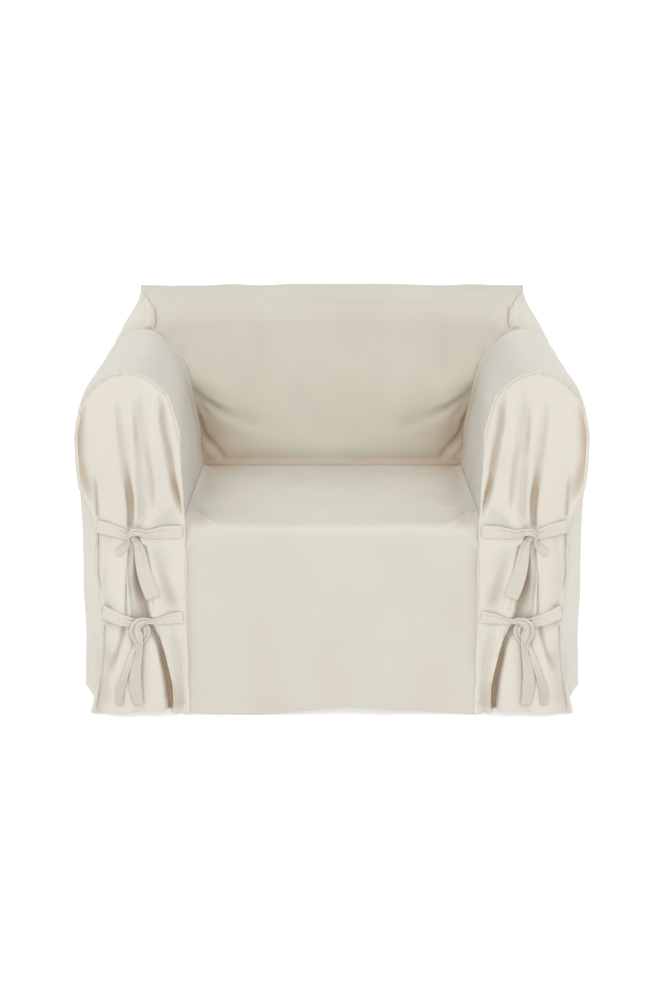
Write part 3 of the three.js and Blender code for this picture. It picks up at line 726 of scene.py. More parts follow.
def arm_panel():
    """From the seam with the arm front to the back; columns run from the outer hem to the seat."""
    row = steps(0, (0.26, 14), (1, 12), (6, 55), (15, 110), (15.7, 6), (ARM_LAST, 8))
    middle = arm_form(row)
    x, y, z = np.moveaxis(middle, -1, 0)
    off_front, off_rear = from_edge(middle, "first_row") - LIP, from_edge(middle, "last_row")

    # where the cloth hangs outside, where it lies on the inner side, and where it meets the back
    row = np.broadcast_to(row, x.shape)
    outer = 1 - ease(row, 5, 8)
    inner = ease(row, 11.5, 13.5)
    on_back = ease(row, 11.6, 12.4) * (1 - ease(row, 14.6, 15.4))

    soft = outer * (3.0 * unevenness(y, z * 0.35, 210, 11) * (1.2 - z / 700)
                    + 1.0 * unevenness(y, z * 0.5, 90, 12) - 2.5)
    soft += ease(row, 6, 8) * (1 - inner) * 1.6 * unevenness(y, x, 170, 13)
    soft += inner * 1.4 * unevenness(y, z, 130, 14)
    side = np.stack([y - FRONT_Y, z], axis=-1)
    for path, width, out, steep in ARM_CREASES_OUTER:
        soft += outer * crease(side, path, width, out, steep)
    for path, width, out, steep in ARM_CREASES_INNER:
        soft += inner * crease(side, path, width, out, steep)
    soft *= ease(y, FRONT_Y + 2, FRONT_Y + 45) * ease(off_rear, 4, 60)
    soft += on_back * (7.0 * bell(off_rear - 15, 8) - 2.5 * bell(off_rear - 29, 5))
    soft += hem(middle, "first_column", seed=15) + seam(middle, "last_row", lip=3, seed=16, furrow=0.3)
    ripple = unevenness(from_edge(middle, "first_column"), off_front * 0, 18, 17)
    soft += 0.8 * ripple * bell(off_front - 6, 8) * ease(off_front, 1, 5)
    return press(middle, soft)


def painted_arm_shade(middle):
    """Painted shade of the arm's inner side, low and high, as a share of the deepest fold."""
    x, y, z = np.moveaxis(middle, -1, 0)
    inner = 1 - ease(x, 340, 385)
    low = (1 - ease(z, 560, 690)) * (0.16 + 0.16 * ease(y - FRONT_Y, 60, 500))
    high = 0.22 * (1 - ease(x, 360, 420)) * ease(z, 560, 600)
    return np.maximum(inner * low, high)


# ---- arm fronts ----------------------------------------------------------------------------
# Creases on the arm front: path as (a, z), half width, out, steepness of one side, and fades.
FRONT_CREASES = [
    ([(428, 684), (424, 628), (419, 586), (414, 545), (410, 506), (406, 465), (406, 428), (407, 392)],
     10, -5.0, 0.3, (0.3, 0.02)),
    ([(417, 563), (411, 522), (407, 480), (405, 436), (406, 391)], 4.5, -4.5, 0.5, (0.5, 0.02)),
    ([(398, 616), (396, 535), (394, 453)], 6, 2.5, 0.0, (0.3, 0.3)),
    ([(393, 684), (390, 630), (387, 579), (384, 500), (385, 400)], 7, -4.0, 0.3, (0.3, 0.1)),
    ([(383, 694), (378, 636), (370, 555), (363, 494), (360, 405)], 8, -5.0, 0.2, (0.35, 0.2)),
    ([(352, 686), (340, 650), (335, 606), (328, 561), (321, 516), (314, 476), (307, 443), (303, 424)],
     6.5, -7.0, 0.2, (0.3, 0.1)),
    ([(321, 516), (314, 476), (307, 443), (302, 420)], 4, -5.0, -0.3, (0.4, 0.1)),
    ([(326, 646), (315, 596), (311, 524), (308, 463)], 5, 2.0, 0.0, (0.3, 0.3)),
    ([(484, 652), (494, 606), (496, 555), (492, 514), (486, 482), (474, 440)],
     6, -3.2, -0.3, (0.2, 0.2)),
    ([(474, 506), (472, 463), (470, 415)], 4, -5.0, 0.5, (0.4, 0.1)),
    ([(471, 388), (469, 340), (470, 290), (460, 240)], 5, -6.0, 0.4, (0.05, 0.3)),
    ([(407, 360), (410, 325), (413, 291), (416, 249), (418, 207)], 4, -7.0, 0.5, (0.1, 0.1)),
    ([(354, 345), (338, 279), (322, 222)], 10, -4.5, 0.2, (0.5, 0.2)),
    ([(377, 316), (373, 302), (364, 251), (359, 214)], 4, -5.0, 0.0, (0.1, 0.1)),
    ([(377, 362), (373, 335), (368, 300), (360, 280)], 4, -6.0, 0.0, (0.05, 0.4)),
    ([(452, 226), (436, 221), (418, 212)], 6, 3.5, 0.0, (0.2, 0.3)),
    ([(460, 196), (463, 146), (471, 75), (482, 14)], 3.5, -5.0, 0.3, (0.05, 0.02)),
    ([(424, 194), (425, 178), (433, 150), (446, 118), (456, 80)], 6.5, -10.0, 0.3, (0.05, 0.5)),
    ([(400, 176), (404, 130), (418, 80)], 7, 3.0, 0.0, (0.15, 0.3)),
    ([(358, 197), (352, 165), (348, 140), (342, 105), (335, 60), (332, 14)],
     5, -3.5, -0.5, (0.05, 0.02)),
    ([(344, 150), (331, 75), (319, 14)], 8, -4.0, 0.2, (0.2, 0.05)),
    ([(312, 175), (309, 97), (306, 14)], 7, -3.0, 0.0, (0.5, 0.1)),
]
# Strips of painted shade on the arm front below its lower tie: the height, and where each one runs, as
# a.
OUTER_PAINTED_STRIP = [(0, 484), (76, 471), (131, 463), (200, 459)]
INNER_PAINTED_STRIP = [(0, 331), (61, 333), (108, 341), (145, 348)]


def arch_place(share, outwards):
    """Place (a, z) on the arch, moved outwards in its own plane; share as in ARCH_STARTS."""
    row = np.array(ARCH[0] + (ARCH[1] - ARCH[0]) * share)
    x, _, z = arm_front_edge(row) + arm_outwards(row) * outwards
    return x, z


def fold_line(z, a, out, share):
    """One line of the arm front, from the hem up to the lip of its seam, as (z, a, out)."""
    start, end = arch_place(share, -MARGIN), arch_place(share, LIP)
    under = np.asarray(z) < start[1] - MARGIN
    return (np.r_[np.asarray(z, float)[under], start[1], end[1]],
            np.r_[np.asarray(a, float)[under], start[0], end[0]],
            np.r_[np.asarray(out, float)[under], 0, 0])


def edge_line(z, a, share):
    """The free edge of a lip beside the arm front, up to where it meets the arch's lip."""
    end = arch_place(share, LIP)
    under = z < end[1] - 12
    keys, values = np.r_[z[under], end[1]], np.r_[a[under], end[0]]
    heights = np.r_[keys[:-1], end[1] - MARGIN - LIP, end[1]]
    return heights, look_up(keys, values, heights), heights * 0


def below_seat(z, high, low):
    """The value `low` below the seat and `high` above it, with a smooth change between them."""
    return high + (low - high) * (1 - ease(z, 380, 470))


def fold_lines():
    """Lines up the arm front, from the inner seam's lip to the outer one's."""
    z_in, a_in = column(INNER_SEAM, 0), column(INNER_SEAM, 1)
    z_in[0] = read(ARM_HEM, a_in[0])
    outer = ARM_FRONT[:ARCH[0] + 1]
    z_out = outer[:, 1].copy()
    z_out[0] = read(ARM_HEM, outer[0, 0])
    lines = [edge_line(z_in, a_in - below_seat(z_in, LIP, FLANGE_OUT), 1.0),
             fold_line(z_in, a_in + MARGIN + below_seat(z_in, 0, 2), z_in * 0, 0.95)]
    z = column(FOLD_PLACES, 0)
    for n, name in reversed(list(enumerate(FOLDS, 1))):
        a, height = column(FOLD_PLACES, n), z.copy()
        height[0] = read(ARM_HEM, a[0])
        lines.append(fold_line(height, a, column(FOLD_DEPTHS, n), ARCH_STARTS[name]))
    lines.append(fold_line(z_out, outer[:, 0] - MARGIN, z_out * 0, 0.06))
    lines.append(edge_line(z_out, outer[:, 0] + LIP, 0.0))
    return lines


def arm_front_form():
    """The arm front with its deep folds, before its creases and seams."""
    up = np.r_[steps(0, (0.05, 16), (MARGIN_AT - 0.03, 150), (MARGIN_AT, 8)),
               steps(MARGIN_AT, (1, 9))[1:]]
    lines = []
    for keys, a, out in fold_lines():
        hem_z, start, end = keys[0], keys[-2], keys[-1]
        z = np.where(up < MARGIN_AT, hem_z + (start - hem_z) * up / MARGIN_AT,
                     start + (end - start) * (up - MARGIN_AT) / (1 - MARGIN_AT))
        lines.append(np.stack([look_up(keys, a, z), look_up(keys, out, z), z], axis=-1))
    across = steps(0, (1, 10), (10, 126), (11, 8))
    a, out, z = np.moveaxis(track(np.array(lines), across), -1, 0)
    return placed(a, ARM_FRONT_Y - out, z)


def arm_front():
    """Rows run from the inner seam to the outer one, columns from the hem to the arch."""
    middle = arm_front_form()
    a, _, z = np.moveaxis(middle, -1, 0)
    places = np.stack([a, z], axis=-1)
    rim = from_edges(middle, ENDS + ("last_column",))
    free = ease(rim, LIP, LIP + 8)
    soft = 0.9 * unevenness(a, z * 0.4, 42, 21) + 0.8 * unevenness(a * 0.6, z, 90, 22)
    for path, width, depth, steep, fade in FRONT_CREASES:
        soft += crease(places, path, width, depth, steep, fade)
    soft *= free
    soft += seam(middle, "last_row", seed=23, furrow=1.5)
    soft += seam(middle, "last_column", seed=24, furrow=1.5, pucker=1.2)
    wide = below_seat(z, LIP, FLANGE)               # the inner seam allowance
    off = from_edge(middle, "first_row")
    ripple = unevenness(z, z * 0, 19, 25)
    soft += 0.8 * ripple * bell(off - wide, 8) - 1.2 * bell(off - wide, 1.5)
    soft += hem(middle, "first_column", seed=26)
    middle = press(middle, soft)
    # the free edges waver a little in their own plane
    middle[..., 0] -= 1.1 * unevenness(z, z * 0, 60, 27) * bell(off, 4)
    middle[..., 0] += 1.1 * unevenness(z, z * 0, 48, 28) * bell(from_edge(middle, "last_row"), 4)
    middle[..., 2] += 1.2 * unevenness(a, a * 0, 46, 29) * bell(from_edge(middle, "last_column"), 4)
    return middle


def painted_front_shade(middle):
    """Painted shade of the arm front's strips, as a share of the deepest fold.

    Besides the two of the tables, one runs between the ties and one beside the inner seam.
    """
    x, _, z = np.moveaxis(middle, -1, 0)
    below_ties = 1 - ease(z, 150, 205)
    between_ties = ease(z, 190, 215) * (1 - ease(z, 290, 350))
    outer = bell(x - read(OUTER_PAINTED_STRIP, z), 5)
    inner = bell(x - read(INNER_PAINTED_STRIP, z), 3 + 5 * (1 - ease(z, 60, 130)))
    beside_seam = 0.06 * bell(x - 309, 9) * (1 - ease(z, 120, 215))
    return (beside_seam + 0.4 * bell(x - 396, 9) * between_ties
            + (0.3 * outer + 0.4 * inner) * below_ties)


# ---- inside back ---------------------------------------------------------------------------
LOW_EDGE = ARM_REAR[GUSSET[0]:][::-1] + [LIP, 0]
BACK_EDGE = np.concatenate([LOW_EDGE, [[BACK_TOP[0][0], BACK_TOP[0][2]]]])      # a, z
BACK_FOOT_Z = SEAT_Z + CLEAR


def back_side(z=None, top=None):
    """Side edge of the inside back: at heights of its straight face, or rows of BACK_TOP."""
    if top is None:
        return placed(look_up(BACK_EDGE[:, 1], BACK_EDGE[:, 0], z), back_face(z), z)
    a, depth, z = np.moveaxis(track(np.array(BACK_TOP, float), top), -1, 0)
    return placed(a, FRONT_Y + depth, z)


# Creases on both halves of the inside back: path as (a, z), half width, out, steepness of one
# side, and fades.
BACK_CREASES = [
    ([(332, 585), (289, 545), (250, 518), (209, 502), (164, 487), (110, 474)],
     22, -4.0, 0.3, (0.45, 0.3)),
    ([(352, 640), (318, 600), (270, 566), (200, 540)], 30, 4.0, 0.0, (0.15, 0.3)),
    ([(310, 567), (286, 550), (260, 537), (231, 528), (202, 522)], 9, 3.0, 0.0, (0.3, 0.5)),
    ([(336, 580), (312, 560), (294, 546), (272, 528), (231, 505), (208, 488)],
     12, -5.0, 0.3, (0.1, 0.5)),
    ([(330, 566), (306, 541), (293, 518), (268, 492)], 9, -5.0, 0.3, (0.1, 0.5)),
    ([(324, 540), (306, 500), (298, 478), (293, 466), (286, 456), (276, 448)],
     5.5, -10.0, 0.3, (0.1, 0.3)),
    ([(300, 466), (287, 454), (268, 437), (249, 415), (240, 402)], 8, -7.0, 0.4, (0.3, 0.2)),
    ([(304, 450), (285, 430), (268, 413)], 9, 4.0, 0.2, (0.2, 0.3)),
    ([(297, 410), (280, 406), (262, 402)], 3, -3.5, 0.0, (0.1, 0.4)),
    ([(388, 784), (374, 755), (361, 718), (348, 675), (336, 615)], 20, -4.0, 0.2, (0.02, 0.5)),
    ([(404, 766), (392, 735), (384, 705), (380, 670)], 12, 4.0, 0.0, (0.15, 0.3)),
    ([(250, 404), (150, 402), (0, 402)], 20, -3.0, 0.0, (0.15, 0.3)),
]


def inside_back():
    """Rows run from left to right, columns from the seat up and over to the top seam."""
    low = back_side(z=steps(BACK_FOOT_Z, (BACK_FOOT_Z + 12, 6), (BACK_TOP[0][2], 104)))
    top = back_side(top=steps(0, (5, 42))[1:])
    edge = np.concatenate([low, top])
    share = steps(-1, (-0.975, 6), (0.975, 150), (1, 6))[:, None]
    middle = placed(edge[:, 0] * share, edge[:, 1], edge[:, 2])
    x, _, z = np.moveaxis(middle, -1, 0)
    middle[..., 2] += read(TOP_WAVES, x) * ease(z, 740, 790)
    a = np.abs(x)
    off = from_edges(middle, ENDS)
    beside = 1 - ease(off, LIP, 75)
    tucked = 7 * (1 - ease(z, BACK_FOOT_Z, BACK_FOOT_Z + 45))
    middle[..., 1] += pocket(z) * beside
    middle[..., 1] += tucked * (1 - beside)
    free = ease(off, LIP, 15) * ease(z, BACK_FOOT_Z, BACK_FOOT_Z + 14)
    places = np.stack([a, z], axis=-1)
    soft = 1.7 * unevenness(x, z, 190, 31) + 0.7 * unevenness(x, z, 80, 32)
    for path, width, depth, steep, fade in BACK_CREASES:
        soft += crease(places, path, width, depth, steep, fade)
    soft *= free * (1 - 0.6 * ease(z, 760, 790))
    beside_gusset = ease(z, 692, 706) * (1 - ease(z, 735, 765))
    soft -= 6.0 * bell(off, 8) * beside_gusset
    for side, seed in (("first_row", 33), ("last_row", 34)):
        soft += seam(middle, side, seed=seed, furrow=0.5) * ease(z, 600, 700)
    foot = from_edge(middle, "first_column")
    soft += (1.2 * bell(foot - 5, 5) - 0.8 * bell(foot - 15, 5)) * ease(off, 4, 30)
    return press(middle, soft)


def painted_back_shade(middle):
    """Painted shade of the inside back, as a share of the deepest fold.

    It is deepest in a band along the seat whose upper edge rises towards the arms; a band on top is
    darkened too.
    """
    x, _, z = np.moveaxis(middle, -1, 0)
    a = np.abs(x)
    upper_edge = 484 + 0.42 * (a - 118)
    hollow = 1 - ease(z - upper_edge, -70, 14)
    beside_arms = bell(np.minimum(a - 300, 0), 95)
    low = 0.09 * (1 - ease(z, 400, 640)) + 0.2 * (1 - ease(z, 398, 416))
    # painted shade: the band on top, which faces up into the light, is darkened
    high = 0.1 * ease(z, 600, 730) + 0.14 * ease(z, 738, 766)
    return 0.02 + 0.6 * hollow * (0.3 + 0.7 * beside_arms) + low + high


# ---- outside back --------------------------------------------------------------------------
# Creases on the outside back: path as (x, z), half width, out, steepness of one side.
OUTSIDE_CREASES = [
    ([(-300, 20), (-290, 260), (-320, 520)], 34, -4.0, 0.2),
    ([(-60, 10), (-80, 200), (-60, 380)], 40, 4.0, 0.0),
    ([(210, 10), (240, 240), (230, 470)], 36, -4.0, 0.2),
    ([(430, 700), (360, 640), (250, 600)], 20, 2.6, 0.3),
    ([(-430, 700), (-350, 650), (-260, 630)], 22, 2.6, 0.3),
]


def outside_back():
    """Rows run from right to left, columns from the hem to the top seam."""
    z = steps(6, (36, 15), (650, 90), (769, 40), (776.5, 7))
    a, y = read(OUTSIDE_BACK, z), FRONT_Y + read(OUTSIDE_BACK, z, 2)
    share = steps(1, (0.975, 8), (-0.975, 120), (-1, 8))[:, None]
    middle = placed(a * share, y, z)
    x, y, z = np.moveaxis(middle, -1, 0)
    middle[..., 2] += read(TOP_WAVES, x) * ease(z, 740, 790)
    off = from_edges(middle, ENDS)
    places = np.stack([x, z], axis=-1)
    soft = 2.6 * unevenness(x, z * 0.4, 230, 41) * (1.1 - z / 1100) + 0.8 * unevenness(x, z, 90, 42)
    for path, width, depth, steep in OUTSIDE_CREASES:
        soft += crease(places, path, width, depth, steep)
    soft *= ease(off, LIP, 40) * (1 - ease(z, 740, 790))
    soft += hem(middle, "first_column", seed=43)
    for side, seed in (("first_row", 44), ("last_row", 45), ("last_column", 46)):
        soft += seam(middle, side, seed=seed)
    return press(middle, soft)


# ---- seat and front drop -------------------------------------------------------------------
def seat_half(depth):
    """Half width of the seat's cloth at a depth."""
    share = np.clip((depth - FULL_DEPTH) / (BACK_FOOT - FULL_DEPTH), 0, 1)
    return FOOT + (FOOT_BACK - FOOT) * share - CLEAR


# Creases on the seat, path as (a, depth), and on the front drop, path as (a, z): half width,
# out, steepness of one side.
SEAT_CREASES = [
    ([(306, 116), (278, 90), (252, 36), (228, 10)], 9, 8.5, 0.2),
    ([(284, 150), (269, 104), (254, 64), (233, 26)], 9, -7.0, 0.3),
    ([(296, 250), (268, 190), (240, 140)], 14, 3.5, 0.2),
    ([(292, 527), (272, 425), (262, 279), (270, 190)], 18, -1.8, 0.2),
    ([(270, 520), (200, 500), (120, 505)], 22, -2.5, 0.2),
]
DROP_CREASES = [
    ([(292, 385), (288, 250), (290, 30)], 9, -3.5, 0.0),
    ([(262, 360), (272, 200), (262, 20)], 16, 2.5, 0.0),
]


def seat_form():
    """Seat and front drop before their folds; the drop's sides come forward to the arm fronts."""
    across = steps(-1, (-0.94, 12), (0.94, 110), (1, 12))[:, None]
    x = across * seat_half(0)
    edge = ease(np.abs(x), FOOT - 24, FOOT - 6)
    lap = PROUD - 2.5                               # how far the side edges come forward
    rise = steps(0, (0.08, 14), (1, 62))
    hem_z = read(FRONT_HEM, x)
    out = read(FRONT_HEM, x, 2) * (1 - rise) ** 1.5
    drop = placed(x, FRONT_Y - (out + (lap - out) * edge), hem_z + (SEAT_TURN[0][1] - hem_z) * rise)
    turn = steps(0, (4, 26))[1:]
    depth, z = np.moveaxis(track(np.array(SEAT_TURN, float), turn), -1, 0)
    over = placed(x, FRONT_Y + depth - lap * edge * (1 - ease(turn, 0, 2)), z)
    depth = steps(SEAT_TURN[-1][0], (BACK_FOOT - 12, 90), (BACK_FOOT + SEAT_TUCK, 10))[1:]
    seat = placed(across * seat_half(depth), FRONT_Y + depth, SEAT_Z)
    return np.concatenate([drop, over, seat], axis=1)


def seat_and_front():
    """Rows run from left to right; columns run up the drop, over the turn and back."""
    middle = seat_form()
    x, y, z = np.moveaxis(middle, -1, 0)
    a, depth = np.abs(x), y - FRONT_Y
    off = from_edges(middle, ENDS)
    free = ease(off, 1, 14)
    on_seat = ease(depth, -2, 12)
    on_drop = 1 - ease(z, 330, 385)
    soft = on_seat * (1.5 * unevenness(x, y, 180, 51) + 0.6 * unevenness(x, y, 70, 52))
    soft += on_drop * (1.9 * unevenness(x, z * 0.5, 200, 53) + 0.6 * unevenness(x, z, 90, 54))
    for path, width, amount, steep in SEAT_CREASES:
        soft += crease(np.stack([a, depth], axis=-1), path, width, amount, steep) * on_seat
    for path, width, amount, steep in DROP_CREASES:
        soft += crease(np.stack([a, z], axis=-1), path, width, amount, steep) * on_drop
    soft *= free * ease(from_edge(middle, "last_column"), SEAT_TUCK, SEAT_TUCK + 30)
    soft += hem(middle, "first_column", seed=55)
    middle = press(middle, soft)
    fillet = 10 * (1 - ease(off, -5, 28))           # the seat turns up where it meets the arms
    middle[..., 2] += fillet * ease(depth, 6, 60) * (1 - ease(depth, 540, 565))
    return middle


def painted_seat_shade(middle):
    """Painted shade of the drop, of the seat's rear and of the seat beside the arms, in the same
    shares.
    """
    x, y, z = np.moveaxis(middle, -1, 0)
    a, depth = np.abs(x), y - FRONT_Y
    on_seat = ease(depth, 10, 60) * ease(z, 380, 394)
    drop = (0.2 + 0.03 * bell(a - 294, 7)) * (1 - ease(depth, -2, 8))
    rear = 0.3 * ease(depth, 260, 560) + 0.3 * ease(depth, 515, 560) * ease(a, 130, 280)
    beside_arms = 0.16 * ease(a, 225, 290) * ease(depth, 60, 160)
    return on_seat * (rear + beside_arms) + drop


# ---- gussets -------------------------------------------------------------------------------
def behind_back(side, along):
    """The inside back's side edge, moved behind its cloth and in by one lip."""
    run = np.gradient(along, axis=0)
    run[:, 0] = 0
    run /= np.linalg.norm(run, axis=1, keepdims=True)
    back = placed(-LIP, run[:, 2] * LAP, -run[:, 1] * LAP)
    return side + back


def behind_seam(z):
    """Places just inside the side seam of the outside back, at heights."""
    return placed(read(OUTSIDE_BACK, z) - LIP, FRONT_Y + read(OUTSIDE_BACK, z, 2) - CLEAR, z)


def gusset_form():
    """The gusset before its folds, spread between its four seams."""
    low = back_side(z=steps(GUSSET_FOOT_Z, (BACK_TOP[0][2], 6)))
    rise = np.concatenate([low, back_side(top=steps(0, (3, 30))[1:])])
    over = back_side(top=steps(3, (5, 40)))
    start, top = behind_back(rise, rise), behind_back(over, over)
    u = steps(0, (1, len(over) - 1))
    row = GUSSET[0] + (GUSSET[1] - GUSSET[0]) * u
    bottom = rear_edge(row)
    y_back = FRONT_Y + read(OUTSIDE_BACK, bottom[-1, 2], 2) - CLEAR
    bottom[:, 1] += 2 + (y_back - 2 - bottom[-1, 1]) * u**8
    bottom[:, 2] += 4.2 * u - 3         # lower than the arm's edge in front, higher behind
    near = ((1 - u) ** 12)[:, None]
    bottom = bottom * (1 - near) + start[0] * near
    share = from_edge(rise[:, None], "first_row")[:, 0]
    share = (share / share[-1])[:, None]
    end = behind_seam(bottom[-1, 2] + (top[-1, 2] - bottom[-1, 2]) * share[:, 0])
    end += (bottom[-1] - end[0]) * (1 - share) + (top[-1] - end[-1]) * share
    u, w = u[:, None, None], share[None]
    return (bottom[:, None] * (1 - w) + top[:, None] * w + start[None] * (1 - u) + end[None] * u
            - (start[0] * (1 - u) + bottom[-1] * u) * (1 - w) - (top[0] * (1 - u) + top[-1] * u) * w)


def gusset():
    """Rows run from the inside back to the outside back, columns up from the arm."""
    middle = gusset_form()
    _, y, z = np.moveaxis(middle, -1, 0)
    rim = from_edges(middle, SIDES)
    soft = (1.5 * unevenness(y, z, 80, 61) + 2.0 * bell(rim - 30, 20)) * ease(rim, 2, 25)
    off = from_edge(middle, "first_row") - LIP
    roll = ease(z, 690, 706) * (1 - ease(z, 742, 775)) * ease(from_edge(middle, "first_column"), 0, 10)
    soft += 8.5 * roll * ease(off, 0, 5) * (1 - ease(off, 7, 30))
    return press(middle, soft)


# ---- ties ----------------------------------------------------------------------------------
# Each place: a, out from the arm front's margin, z, half width, the width's angle from upright,
# how far the width tips out of the plane (degrees), and the height of its lengthwise pleats.
TIES = {
    "upper_outer": [
        (470, 1.5, 399, 13, -6, 0, 0),
        (455, 1.5, 396, 13, -9, 0, 0.3),
        (440, 1.5, 392, 12.5, -12, 0, 0.8),
        (427, 1.5, 388, 11.5, -14, 0, 1.3),
        (414, 2, 383, 9.5, -20, 0, 2.0),
        (403, 3, 378, 6.5, -34, 0, 2.4),
        (395, 4, 371, 5.5, -58, 0, 2.6),
        (389, 5, 360, 8, -72, 0, 2.0),
        (385, 6, 342, 11.5, -78, 0, 1.0),
        (379, 6.5, 308, 13.4, -78, -4, 0.4),
        (370, 7, 278, 14.6, -73, -6, 0.3),
        (360, 7.5, 253, 15, -71, -4, 0.2),
    ],
    "upper_inner": [
        (301, 1.5, 388, 13, 0, 0, 0),
        (320, 1.5, 387, 13, 1, 0, 0.4),
        (340, 1.5, 386, 12, 2, 0, 1.0),
        (357, 2.5, 384.5, 10, 2, 0, 1.8),
        (371, 5, 384, 8, 0, 0, 2.4),
        (382, 9, 387, 7.2, -8, 6, 2.4),
        (393, 12, 389.5, 7, -4, 8, 2.2),
        (403, 11, 387, 6, 20, 4, 2.2),
        (409, 6, 379, 3.2, 52, 0, 1.6),
        (408, 4, 370, 3.2, 66, 0, 1.6),
        (413, 4, 361, 5.5, 56, 0, 1.6),
        (421, 4.5, 352, 7, 54, 6, 1.2),
        (430, 4.5, 342, 5.5, 60, 10, 0.6),
    ],
    "lower_outer": [
        (464, 1.5, 222, 13, -14, 0, 0),
        (450, 1.5, 216, 13, -18, 0, 0.3),
        (434, 1.5, 209, 12.5, -20, 0, 0.8),
        (420, 1.5, 204, 11.5, -18, 0, 1.6),
        (406, 2.5, 200, 9.5, -14, 0, 2.4),
        (393, 4, 197, 9, -14, 0, 2.8),
        (382, 5, 192, 8.5, -36, 0, 3.0),
        (378, 5.5, 183, 10, -70, 6, 3.0),
        (380, 6, 173, 9.5, -104, 6, 3.0),
        (387, 6.5, 162, 8, -120, 0, 2.4),
        (395, 7, 148, 7.4, -120, 0, 1.6),
        (404, 7.5, 131, 7.4, -116, 0, 1.0),
        (414, 8, 108, 7.2, -113, 4, 0.7),
        (424, 9, 82, 7.6, -112, 8, 0.8),
        (433, 9.5, 54, 9, -98, 14, 0.8),
        (433, 10, 27, 7.5, -88, 22, 1.2),
    ],
    "lower_inner": [
        (302, 1.5, 210, 12, 6, 0, 0),
        (320, 1.5, 208, 11, 6, 0, 0.6),
        (338, 1.5, 205.5, 8.5, 8, 0, 1.4),
        (352, 2.5, 203, 6, 8, 0, 2.0),
        (364, 5, 202.5, 5.2, 2, 4, 2.4),
        (377, 9, 203.5, 6.5, -2, 8, 3.0),
        (388, 12, 201, 9, 14, 8, 3.2),
        (395, 12.5, 193, 12, 42, 6, 3.6),
        (397, 10.5, 182, 13, 74, 0, 3.6),
        (395, 9, 170, 11.5, 100, 0, 3.4),
        (391, 8.5, 157, 8, 104, 0, 2.4),
        (391, 9.5, 138, 6.5, 96, 0, 1.2),
        (396, 11, 114, 8.8, 92, 0, 0.6),
        (400, 11.5, 86, 11.5, 90, 0, 0.4),
        (399, 12, 56, 12, 86, 0, 0.4),
        (395, 12, 28, 10, 80, -6, 0.5),
    ],
}
# Painted shade of each tie's free end: how deep, and the shares of its length between which it sets in.
TAIL_PAINTED_SHADE = dict(upper_outer=(0.12, 0.5, 0.75), upper_inner=(0.1, 0.5, 0.75),
                 lower_outer=(0.4, 0.72, 0.92), lower_inner=(0.27, 0.55, 0.7))


def front_over(middle, places, reach=4.0):
    """The foremost y of a piece near each place (a, z); far behind where it has no cloth."""
    surface = middle.reshape(-1, 3)
    foremost = np.full(len(places), 1e6)
    for k, (a, z) in enumerate(places):
        near = (np.abs(surface[:, 0] - a) < reach) & (np.abs(surface[:, 2] - z) < reach)
        if near.any():
            foremost[k] = surface[near, 1].min()
    return foremost


def laid_on(strip, under, gap=0.5):
    """Moves a tape forward, station by station, until it is clear of what lies under it."""
    short = np.zeros(len(strip))
    for middle, thickness in under:
        places = strip[:, ::2][..., [0, 2]].reshape(-1, 2)      # every other point across it
        allowed = front_over(middle, places).reshape(len(strip), -1) - (thickness + TAPE) / 2 - gap
        short = np.maximum(short, (strip[:, ::2, 1] - allowed).max(axis=1))
    reach = 4                                       # stations either way over which it eases
    padded = np.pad(short, 2 * reach, mode="edge")
    widest = np.lib.stride_tricks.sliding_window_view(padded, 2 * reach + 1).max(axis=1)
    smooth = np.lib.stride_tricks.sliding_window_view(widest, 2 * reach + 1).mean(axis=1)
    settled = strip.copy()
    settled[..., 1] -= smooth[:, None]
    return settled


def tape(path, outer, fine=9, across=13):
    """Middle points of a tie tape along its path, pleated lengthwise; it faces forward (-Y)."""
    rows = np.array(path, float)
    count = fine * (len(rows) - 1)
    stations = track(rows, np.linspace(0, len(rows) - 1, count))
    a, out, z, half, turn, tip, pleat = np.moveaxis(stations, -1, 0)
    centre = placed(a, ARM_FRONT_Y - out, z)
    run = np.gradient(centre, axis=0)
    run /= np.linalg.norm(run, axis=1, keepdims=True)
    turn, tip = np.radians(turn), np.radians(tip)
    wide = placed(np.sin(turn) * np.cos(tip), -np.sin(tip), np.cos(turn) * np.cos(tip))
    face = np.cross(run, wide) * (1 if not outer else -1)
    face /= np.linalg.norm(face, axis=1, keepdims=True)
    s = np.linspace(-1, 1, across)
    # pleats that die out towards both edges, over a slight crown
    ripple = pleat[:, None] * (np.cos(s * 2.6 * math.pi + 0.6) * 0.6 + 0.3 * np.cos(s * 5.1 + 1.3))
    crumple = unevenness(np.arange(count)[:, None] * 1.6, s * 9, 17, 71) * pleat[:, None]
    ripple = (ripple + 0.5 * crumple) * (1 - 0.5 * np.abs(s)) + 0.6 * (1 - s**2) * half[:, None] / 13
    middle = (centre[:, None] + wide[:, None] * (half[:, None] * s)[..., None]
              + face[:, None] * ripple[..., None])
    return middle[:, ::-1] if outer else middle


def painted_tail_shade(name, strip):
    """Painted shade along one tie, from TAIL_PAINTED_SHADE."""
    depth, start, end = TAIL_PAINTED_SHADE[name]
    along = np.linspace(0, 1, len(strip))[:, None]
    return depth * ease(along, start, end) + np.zeros(strip.shape[:2])


def span_of(middle):
    """Longest run of a sheet along its rows and along its columns, in metres."""
    return [float(from_edge(middle, side).max() * MM) for side in ("last_row", "last_column")]


def panel(name, middle, material=PANEL, thickness=CLOTH, deep=0.0,
          strength=1.0):
    """Makes one cut piece in place of its CAD node and works out its longest runs."""
    piece = sheet(name + "_cloth", middle, material, thickness, deep, strength)
    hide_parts(name)
    flat = span_of(middle)
    return piece


# The two hands of a piece, and which way the rows of its grid then run.
HANDS = (("right", lambda middle: middle, 1), ("left", mirrored, -1))

